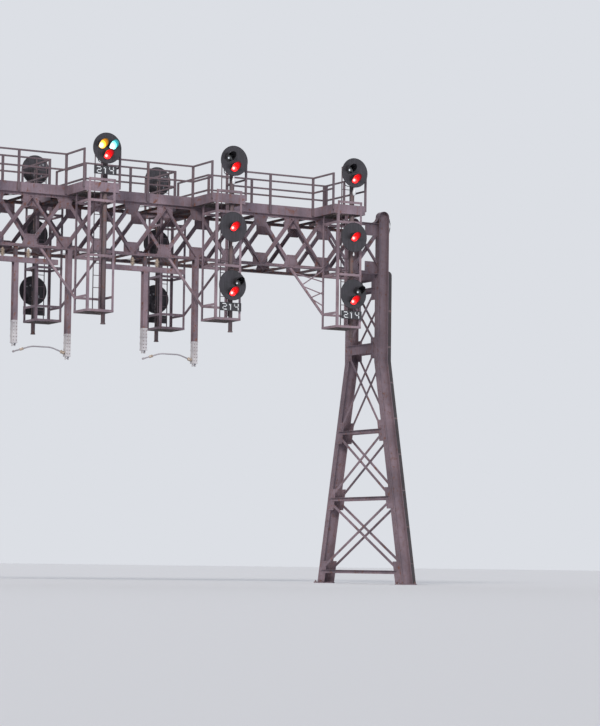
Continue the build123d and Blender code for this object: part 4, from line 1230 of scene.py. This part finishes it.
@dataclass
class SignalHeads:
    """The signal heads: rolled target rims, smooth hoods, domed lenses, and housings with doors."""

    paints: Paints
    hood_sides: int = 28
    hood_thickness: float = 0.003
    hood_bead: float = 0.006
    hood_fall: float = 0.8
    rim_radius: float = 0.007
    lens_rise: float = 0.034
    lens_steps: int = 9
    bezel_width: float = 0.012
    rib_start: float = 0.304
    rib_half: float = 0.012
    rib_depth: float = 0.018
    housing_depth: float = 0.145
    lining_steps: int = 6
    figures: str = "214"

    def build(self) -> None:
        """Dresses the heads and adds their fine pieces."""
        p = self.paints
        dress(p.target, "targets")
        dress(p.housing, "lamp_housings")
        dress(p.plate, "number_plates")
        self.rims().piece("target_rims", p.target)
        self.bezels().piece("lens_bezels", p.hood)
        self.hoods().piece("smooth_hoods", p.hood, "hoods")
        self.doors().piece("housing_doors", p.housing)
        self.hasps().piece("door_hasps", p.hasp)
        self.plate_frames().piece("number_plate_frames", p.plate)
        self.sights().piece("sighting_lugs", p.white)
        self.numbers().piece("plate_numbers", p.white)
        for aspect, lenses in self.lenses_by_aspect().items():
            self.lens_piece(aspect, lenses)
            if aspect is not Aspect.DARK:
                self.lining(aspect, lenses)

    def heads(self) -> list[Box]:
        """The targets, one for each head."""
        return solids("targets")

    def lamps(self) -> list[tuple[Box, Box]]:
        """Pairs each lens with its target.

        Returns:
            Pairs of a lens's box and its target's box.
        """
        targets = self.heads()
        return [(lens, min(targets, key=lambda t: (t.middle - lens.middle).length)) for lens in solids("lenses")]

    def lenses_by_aspect(self) -> dict[Aspect, list[Box]]:
        """Decides what each lens shows: the lowest and the middle lenses are red and lit, and one head shows all.

        Returns:
            The lenses of each aspect.
        """
        shown: dict[Aspect, list[Box]] = {aspect: [] for aspect in Aspect}
        for lens, target in self.lamps():
            across = -target.sense * (lens.middle.x - target.middle.x)
            above = lens.middle.z - target.middle.z
            shows_all = abs(target.middle.x) < 0.2 and target.sense < 0
            if above < 0.02:
                aspect = Aspect.RED
            elif shows_all:
                aspect = Aspect.YELLOW if across < 0 else Aspect.GREEN
            else:
                aspect = Aspect.DARK
            shown[aspect].append(lens)
        return shown

    def lens_piece(self, aspect: Aspect, lenses: Sequence[Box]) -> None:
        """Makes the domed lenses that show one aspect.

        Args:
            aspect: what they show.
            lenses: the CAD lenses that they stand for.
        """
        if not lenses:
            return
        shape = Shape()
        places: list[tuple[float, float]] = []
        angles = [i / self.lens_steps * math.pi / 2 * 0.97 for i in range(self.lens_steps + 1)]
        for lens in lenses:
            radius, middle, first = lens.size.x / 2, lens.middle, len(shape.points)
            profile = [(radius, 0.0)] + [(radius * math.cos(a), 0.004 + self.lens_rise * math.sin(a))
                                         for a in angles]
            shape.lathe(profile, Vector((middle.x, lens.back, middle.z)), lens.look, 32)
            places += [(-lens.sense * (p.x - middle.x), p.z - middle.z) for p in shape.points[first:]]
        shape.piece(f"lenses_{aspect.name.lower()}", self.paints.glass[aspect], "lenses", uvs=places)

    def rims(self) -> Shape:
        """Rolls a bead round each target, and rivets four ribs behind it.

        Returns:
            The beads and ribs.
        """
        shape = Shape()
        for target in self.heads():
            radius, middle, bead = target.size.x / 2, target.middle, self.rim_radius
            rings = []
            for t in Shape.turns(48):
                point = Vector((middle.x + (radius - bead) * math.cos(t), middle.y,
                                middle.z + (radius - bead) * math.sin(t)))
                spoke = (point - middle).normalized()
                rings.append([point + spoke * bead * math.cos(a) + target.look * bead * math.sin(a)
                              for a in Shape.turns(6)])
            shape.loft(rings + rings[:1], smooth=True, closed=False)
            base = Vector((middle.x, target.back, middle.z))
            depth = Vector((0.0, -target.sense * self.rib_depth, 0.0))
            for a in (math.radians(turn) for turn in (45, 135, 225, 315)):
                spoke = Vector((math.cos(a), 0.0, math.sin(a)))
                side = Vector((-math.sin(a), 0.0, math.cos(a))) * self.rib_half
                shape.loft([[at - side, at + side, at + side + deep, at - side + deep] for at, deep in (
                    (base + spoke * self.rib_start, depth), (base + spoke * (radius - 0.02), depth * 0.5))])
        return shape

    def bezels(self) -> Shape:
        """Rings each lens with a flat bezel held by four screws.

        Returns:
            The bezels.
        """
        shape = Shape()
        for lens in solids("lenses"):
            inner, outer = lens.size.x / 2 - 0.004, lens.size.x / 2 + self.bezel_width
            back, out = Vector((lens.middle.x, lens.back, lens.middle.z)), outer + 0.012
            shape.lathe([(inner, 0.0), (inner, 0.008), (outer, 0.008), (outer, 0.0), (inner, 0.0)], back,
                        lens.look, 32, smooth=False, closed=False)
            for t in (math.radians(turn) for turn in (200, 250, 290, 340)):
                shape.bolt(back + Vector((out * math.cos(t), 0.0, out * math.sin(t))), lens.look, 0.007)
        return shape

    def hoods(self) -> Shape:
        """Bends a smooth, beaded sheet round each lens, open below and cut back towards its lower corners.

        Returns:
            The hoods.
        """
        shape = Shape()
        for hood in solids("hoods"):
            outer = hood.size.x / 2
            inner = outer - self.hood_thickness
            bead = inner - 0.002
            at = Vector((hood.middle.x, hood.back, hood.high.z - outer))
            rings = []
            for spoke, reach in self.hood_outline(hood.size.y):
                lip = reach - self.hood_bead
                rings.append([at + spoke * radius + hood.look * out for radius, out in (
                    (inner, 0.0), (outer, 0.0), (outer, lip), (outer, reach), (bead, reach), (bead, lip),
                    (inner, lip))])
            shape.loft(rings)
        return shape

    def hood_outline(self, length: float) -> list[tuple[Vector, float]]:
        """Goes round a hood's rim, from its right lower corner to its left one.

        Args:
            length: the hood's length at its top.

        Returns:
            Each direction from the middle, with the rim's reach there.
        """
        outline = []
        for share in (i / self.hood_sides for i in range(self.hood_sides + 1)):
            angle = math.radians(-30 + 240 * share)
            rise = max(0.0, math.sin(math.pi * share)) ** self.hood_fall
            outline.append((Vector((math.cos(angle), 0.0, math.sin(angle))), length * (0.10 + 0.90 * rise)))
        return outline

    def lining(self, aspect: Aspect, lenses: Sequence[Box]) -> None:
        """Lines the hoods of lit lenses with a skin that glows with the lenses' spilt light, painted on.

        Args:
            aspect: what the lenses show.
            lenses: the lenses.
        """
        shape = Shape()
        places: list[tuple[float, float]] = []
        hoods, steps, rows = solids("hoods"), self.lining_steps, self.lining_steps + 1
        for lens in lenses:
            hood = min(hoods, key=lambda h: (h.middle - lens.middle).length)
            radius = hood.size.x / 2 - self.hood_thickness - 0.0035
            at = Vector((hood.middle.x, hood.back, hood.high.z - hood.size.x / 2))
            grid = [[at + spoke * radius + Vector((0.0, hood.sense * (reach - 0.004) * j / steps, 0.0))
                     for j in range(rows)] for spoke, reach in self.hood_outline(hood.size.y)]
            shape.add([p for row in grid for p in row],
                      [(i * rows + j, (i + 1) * rows + j, (i + 1) * rows + j + 1, i * rows + j + 1)
                       for i in range(len(grid) - 1) for j in range(steps)], smooth=True)
            places += [(0.0, j / steps) for _ in grid for j in range(rows)]
        shape.piece(f"lit_hood_linings_{aspect.name.lower()}", self.paints.lit[aspect], uvs=places)

    def numbers(self) -> Shape:
        """Sets plain figures on each plate, made of straight strokes.

        Returns:
            The figures.
        """
        strokes = {"2": ((0, 2, 1, 2), (1, 1, 1, 2), (0, 1, 1, 1), (0, 0, 0, 1), (0, 0, 1, 0)),
                   "1": ((0.5, 0, 0.5, 2), (0.2, 1.7, 0.5, 2)), "4": ((0, 1, 0, 2), (0, 1, 1, 1), (1, 0, 1, 2))}
        shape = Shape()
        width, height, stroke, pitch, proud = 0.100, 0.070, 0.012, 0.165, 0.003
        for plate in solids("number_plates"):
            sense, y = plate.sense, plate.front
            for i, figure in enumerate(self.figures):
                left = (i - 1) * pitch - width / 2
                for x0, z0, x1, z1 in strokes[figure]:
                    a = Vector((left + x0 * width, 0.0, (z0 - 1) * height))
                    b = Vector((left + x1 * width, 0.0, (z1 - 1) * height))
                    along = (b - a).normalized()
                    across = Vector((along.z, 0.0, -along.x)) * stroke
                    ends = (a - along * stroke, b + along * stroke)
                    ring = [ends[0] - across, ends[0] + across, ends[1] + across, ends[1] - across]
                    shape.loft([[Vector((plate.middle.x - sense * p.x, y + sense * depth, plate.middle.z + p.z))
                                 for p in ring] for depth in (0.0, proud)])
        return shape

    def door_places(self) -> list[tuple[Vector, float]]:
        """Finds the middle of each lamp housing's back behind each lens.

        Returns:
            Each place, with the sense of Y in which the lens faces.
        """
        return [(Vector((lens.middle.x, target.back - lens.sense * self.housing_depth, lens.middle.z)),
                 lens.sense) for lens, target in self.lamps()]

    def doors(self) -> Shape:
        """Puts a round door on the back of each lamp housing, behind each lens.

        Returns:
            The doors.
        """
        shape = Shape()
        for back, sense in self.door_places():
            shape.lathe([(0.092, 0.0), (0.092, 0.006), (0.078, 0.012), (0.02, 0.014)], back,
                        Vector((0.0, -sense, 0.0)), 28)
        return shape

    def hasps(self) -> Shape:
        """Gives each door a bright hinge, a hasp and a round vent cap above its middle.

        Returns:
            The hinges, hasps and caps.
        """
        shape = Shape()
        for back, sense in self.door_places():
            shape.block(back + Vector((0.082, 0.0, -0.035)), back + Vector((0.108, -sense * 0.014, 0.035)))
            shape.block(back + Vector((-0.115, 0.0, -0.014)), back + Vector((-0.078, -sense * 0.020, 0.014)))
            shape.lathe([(0.026, 0.010), (0.026, 0.020), (0.012, 0.026)], back + Vector((0.0, 0.0, 0.03)),
                        Vector((0.0, -sense, 0.0)), 14)
        return shape

    def plate_frames(self) -> Shape:
        """Edges each number plate with a raised bead and bolts it to its arm.

        Returns:
            The beads and bolts.
        """
        shape = Shape()
        for plate in solids("number_plates"):
            sense, y = plate.sense, plate.front
            bead, proud = 0.012, 0.004
            for z in (plate.low.z, plate.high.z - bead):
                shape.block((plate.low.x, y, z), (plate.high.x, y + sense * proud, z + bead))
            for x in (plate.low.x, plate.high.x - bead):
                shape.block((x, y, plate.low.z + bead), (x + bead, y + sense * proud, plate.high.z - bead))
            for sx in (-1.0, 1.0):
                at = Vector((plate.middle.x + sx * 0.12, y, plate.middle.z + 0.06))
                shape.bolt(at, Vector((0.0, sense, 0.0)), 0.010)
        return shape

    def sights(self) -> Shape:
        """Hangs a pale turned lug below each target without a number plate: long at the top, short elsewhere.

        Returns:
            The lugs.
        """
        shape = Shape()
        top = max(target.middle.z for target in self.heads())
        plates = solids("number_plates")
        for target in self.heads():
            if any((plate.middle - target.middle).length < 0.8 for plate in plates):
                continue
            sense = sign(target.middle.y)
            size = 1.0 if target.middle.z > top - 0.1 else 0.5
            at = Vector((target.middle.x, target.middle.y - sense * size * 0.02, target.low.z - size * 0.19))
            shape.lathe([(size * radius, size * along) for radius, along in (
                (0.012, -0.02), (0.034, 0.0), (0.042, 0.06), (0.032, 0.12), (0.018, 0.15), (0.018, 0.24))],
                        at, UP, 16)
        return shape


@dataclass
class WireGear:
    """What hangs below the truss: beams, hangers with pale ends, insulators and bent arms."""

    paints: Paints
    shed_radius: float = 0.062
    sheds: int = 4
    arm_reach: float = 1.42
    arm_rise: float = 0.15
    arm_foot: float = 0.06
    arm_knees: tuple[float, float] = (0.3, 0.67)
    arm_bend: float = 0.09
    arm_radius: float = 0.018

    def build(self) -> None:
        """Dresses the hangers and adds their arms, insulators, bands, cleats and bolts."""
        p = self.paints
        dress(p.truss, "hanger_beams", "wire_hangers", "steady_arm_hangers")
        # The beam straps take the darker coat with painted shade.
        dress(p.inner, "beam_straps")
        dress(p.end, "hanger_ends")
        self.arms().piece("smooth_steady_arms", p.arm, "steady_arms")
        self.arm_fittings().piece("steady_arm_fittings", p.porcelain)
        self.end_bands().piece("hanger_end_bands", p.end)
        self.insulators().piece("insulators", p.porcelain)
        self.cleats().piece("hanger_cleats", p.truss)
        self.end_bolts().piece("hanger_end_bolts", p.rivet)

    def insulators(self) -> Shape:
        """Stands a ribbed insulator on each beam, on each side of its middle strap.

        Returns:
            The insulators.
        """
        shape = Shape()
        profile = [(0.03, 0.0), (0.03, 0.02)]
        for i in range(self.sheds):
            z = 0.03 + i * 0.04
            profile += [(0.026, z), (self.shed_radius, z + 0.006), (self.shed_radius * 0.9, z + 0.016),
                        (0.028, z + 0.026)]
        profile += [(0.024, 0.2), (0.02, 0.22)]
        for beam in solids("hanger_beams"):
            for shift in (-0.34, 0.34):
                shape.lathe(profile, Vector((beam.middle.x + shift, beam.middle.y, beam.high.z)), UP, 20)
        return shape

    def arm_route(self, arm: Box) -> list[Vector]:
        """The middle line of a steady arm, from its hanger's end outwards, with rounded bends.

        Args:
            arm: the CAD arm.

        Returns:
            Points along the line.
        """
        block = min(solids("hanger_ends"), key=lambda b: abs(b.low.x - arm.high.x) + abs(b.low.z - arm.low.z))
        x, y, low = block.middle.x, block.middle.y, block.low.z + self.arm_foot
        corners = [Vector((x - share * self.arm_reach, y, low + rise)) for share, rise in (
            (0.0, 0.0), (self.arm_knees[0], self.arm_rise), (self.arm_knees[1], self.arm_rise), (1.0, 0.0))]
        route = [Vector((block.low.x - 0.001, y, low + self.arm_rise * (x - block.low.x) / (
            self.arm_knees[0] * self.arm_reach)))]
        for before, corner, after in zip(corners, corners[1:], corners[2:]):
            start = corner + (before - corner).normalized() * self.arm_bend
            end = corner + (after - corner).normalized() * self.arm_bend
            route += [start.lerp(corner, t).lerp(corner.lerp(end, t), t) for t in (i / 6 for i in range(7))]
        return route + [corners[-1]]

    def arms(self) -> Shape:
        """Bends each steady arm from smooth pipe, with a flattened eye at its free end.

        Returns:
            The arms.
        """
        shape = Shape()
        for arm in solids("steady_arms"):
            route = self.arm_route(arm)
            shape.tube(route, self.arm_radius, 14)
            tip = route[-1]
            shape.rod(tip + Vector((0.0, -0.02, 0.0)), tip + Vector((0.0, 0.02, 0.0)), 0.028, 16)
        return shape

    def arm_fittings(self) -> Shape:
        """Puts a ribbed insulator at the root of each steady arm, and a pale clamp near its free end.

        Returns:
            The fittings.
        """
        shape = Shape()
        for arm in solids("steady_arms"):
            route = self.arm_route(arm)
            along = (route[1] - route[0]).normalized()
            profile = [(self.arm_radius, 0.0)]
            for i in range(3):
                z = 0.012 + i * 0.036
                profile += [(0.024, z), (0.046, z + 0.006), (0.044, z + 0.018), (0.024, z + 0.026)]
            profile.append((self.arm_radius, 0.125))
            shape.lathe(profile, route[0] + along * 0.01, along, 20)
            free = (route[-1] - route[-2]).normalized()
            middle = route[-2].lerp(route[-1], 0.45)
            shape.lathe([(self.arm_radius, -0.05), (0.032, -0.045), (0.034, 0.0), (0.032, 0.045),
                         (self.arm_radius, 0.05)], middle, free, 16)
        return shape

    def end_bands(self) -> Shape:
        """Straps each pale hanger end with flat bands, and hangs a forked lug with a pin below it.

        Returns:
            The bands and lugs.
        """
        shape = Shape()
        proud, depth = 0.005, 0.04
        for block in solids("hanger_ends"):
            low, high, middle = block.low, block.high, block.middle
            for share in (0.0, 0.31, 0.62, 1.0):
                z = low.z + share * (block.size.z - depth)
                shape.block((low.x - proud, low.y - proud, z), (high.x + proud, low.y, z + depth))
                shape.block((low.x - proud, high.y, z), (high.x + proud, high.y + proud, z + depth))
                shape.block((low.x - proud, low.y, z), (low.x, high.y, z + depth))
                shape.block((high.x, low.y, z), (high.x + proud, high.y, z + depth))
            for side in (-1.0, 1.0):
                x = middle.x + side * 0.035
                shape.block((x - 0.008, middle.y - 0.04, low.z - 0.07), (x + 0.008, middle.y + 0.04, low.z))
            shape.rod((middle.x - 0.055, middle.y, low.z - 0.042), (middle.x + 0.055, middle.y, low.z - 0.042),
                      0.013, 12)
        return shape

    def cleats(self) -> Shape:
        """Bolts an angle cleat to each side of each hanger's head.

        Returns:
            The cleats.
        """
        shape = Shape()
        for node in ("wire_hangers", "steady_arm_hangers"):
            for hanger in solids(node):
                for side in (-1.0, 1.0):
                    x = hanger.middle.x + side * 0.006
                    y0, y1 = hanger.middle.y - 0.07, hanger.middle.y + 0.07
                    shape.block((x, y0, hanger.high.z - 0.16), (x + side * 0.008, y1, hanger.high.z))
                    shape.block((x, y0, hanger.high.z - 0.008), (x + side * 0.07, y1, hanger.high.z))
                    for y in (hanger.middle.y - 0.035, hanger.middle.y + 0.035):
                        shape.bolt(Vector((x + side * 0.008, y, hanger.high.z - 0.09)),
                                   Vector((side, 0.0, 0.0)), 0.011)
        return shape

    def end_bolts(self) -> Shape:
        """Sets two rows of bolts down the front and back of each pale hanger end.

        Returns:
            The bolts.
        """
        shape = Shape()
        for block in solids("hanger_ends"):
            for sense in (-1.0, 1.0):
                y = block.high.y if sense > 0 else block.low.y
                for sx in (-1.0, 1.0):
                    for i in range(6):
                        z = block.low.z + 0.07 + i * (block.size.z - 0.14) / 5
                        shape.bolt(Vector((block.middle.x + sx * 0.036, y, z)), Vector((0.0, sense, 0.0)), 0.009)
        return shape


@dataclass
class Studio:
    """The pale floor, the soft lamps and the camera."""

    camera_place: tuple[float, float, float] = (-25.90, -57.97, 0.43)
    yaw: float = 29.33
    pitch: float = 4.57
    roll: float = 0.72
    focal_pixels: float = 2548.0
    floor_size: float = 6000.0

    def build(self) -> None:
        """Lays the floor, and sets up the world, the lamps and the camera."""
        self.floor()
        self.world()
        self.lamp("key_lamp", (-38.0, -42.0, 34.0), 20.0, 2.5, "#FFF8F0")
        self.lamp("fill_lamp", (34.0, -46.0, 16.0), 40.0, 0.5, "#EEF3FF")
        self.lamp("rim_lamp", (8.0, 44.0, 30.0), 30.0, 0.6, "#F2F4FF")
        self.camera()
        bpy.context.scene.view_settings.view_transform = "Standard"

    def floor(self) -> None:
        """Lays a flat paper floor."""
        half = self.floor_size / 2
        mesh = bpy.data.meshes.new("studio_floor")
        mesh.from_pydata([(-half, -half, 0.0), (half, -half, 0.0), (half, half, 0.0), (-half, half, 0.0)], [],
                         [(0, 1, 2, 3)])
        mesh.materials.append(StudioPaper().build())
        floor = bpy.data.objects.new("studio_floor", mesh)
        bpy.context.scene.collection.objects.link(floor)

    def world(self) -> None:
        """Lights the scene with an even sky that the camera and reflections see as pale paper."""
        world = bpy.data.worlds.new("studio_world")
        world.use_nodes = True
        bpy.context.scene.world = world
        world.node_tree.nodes.clear()
        soft = add_node(world, "ShaderNodeBackground", inputs={"Color": linear("#E8ECF4"), "Strength": 0.45})
        seen = add_node(world, "ShaderNodeBackground", inputs={"Color": linear("#DCDFE5"), "Strength": 1.0})
        path = add_node(world, "ShaderNodeLightPath").outputs
        direct = add_node(world, "ShaderNodeMath", {"operation": "MAXIMUM"}, {
            0: path["Is Camera Ray"], 1: path["Is Glossy Ray"]})
        either = add_node(world, "ShaderNodeMath", {"operation": "MAXIMUM"}, {
            0: direct, 1: path["Is Transmission Ray"]})
        mix = add_node(world, "ShaderNodeMixShader", inputs={0: either, 1: soft, 2: seen})
        add_node(world, "ShaderNodeOutputWorld", inputs={"Surface": mix})

    def lamp(self, name: str, place: tuple[float, float, float], spread: float, strength: float,
             colour: str) -> None:
        """Adds a broad far lamp aimed at the middle of the gantry, which lights the whole floor evenly.

        Args:
            name: the lamp's name.
            place: where it stands.
            spread: how wide it looks, in degrees: the wider, the softer its shadows.
            strength: its power in watts on each square metre.
            colour: its colour as sRGB hex.
        """
        light = bpy.data.lights.new(name, "SUN")
        light.angle = math.radians(spread)
        light.energy = strength
        light.color = linear(colour)[:3]
        lamp = bpy.data.objects.new(name, light)
        bpy.context.scene.collection.objects.link(lamp)
        lamp.location = place
        aim = (CAD_BOX[0] + CAD_BOX[1]) / 2 - Vector(place)
        lamp.rotation_euler = aim.to_track_quat("-Z", "Y").to_euler()

    def camera(self) -> None:
        """Sets up the camera where the photograph was taken from."""
        data = bpy.data.cameras.new("photo_camera")
        data.sensor_width = SENSOR_MM
        data.lens = self.focal_pixels / max(PHOTO_SIZE) * SENSOR_MM
        data.clip_start, data.clip_end = 0.5, 6000.0
        camera = bpy.data.objects.new("photo_camera", data)
        bpy.context.scene.collection.objects.link(camera)
        camera.location = self.camera_place
        level = Matrix.Rotation(math.radians(-self.yaw), 4, "Z")
        raise_up = Euler((math.radians(90 + self.pitch), 0.0, 0.0)).to_matrix().to_4x4()
        tilt = Matrix.Rotation(math.radians(self.roll), 4, "Z")
        camera.matrix_world = Matrix.Translation(self.camera_place) @ level @ raise_up @ tilt
        bpy.context.scene.camera = camera


def main() -> None:
    """Builds every sub-assembly in order."""
    logging.basicConfig(level=logging.INFO, format="%(name)s %(message)s")
    paints = Paints()
    for assembly in (Truss(paints), Towers(paints), Walkway(paints), Cages(paints), SignalHeads(paints),
                     WireGear(paints), Studio()):
        assembly.build()
        LOG.info("%s built", type(assembly).__name__)


if __name__ == "__main__":
    main()
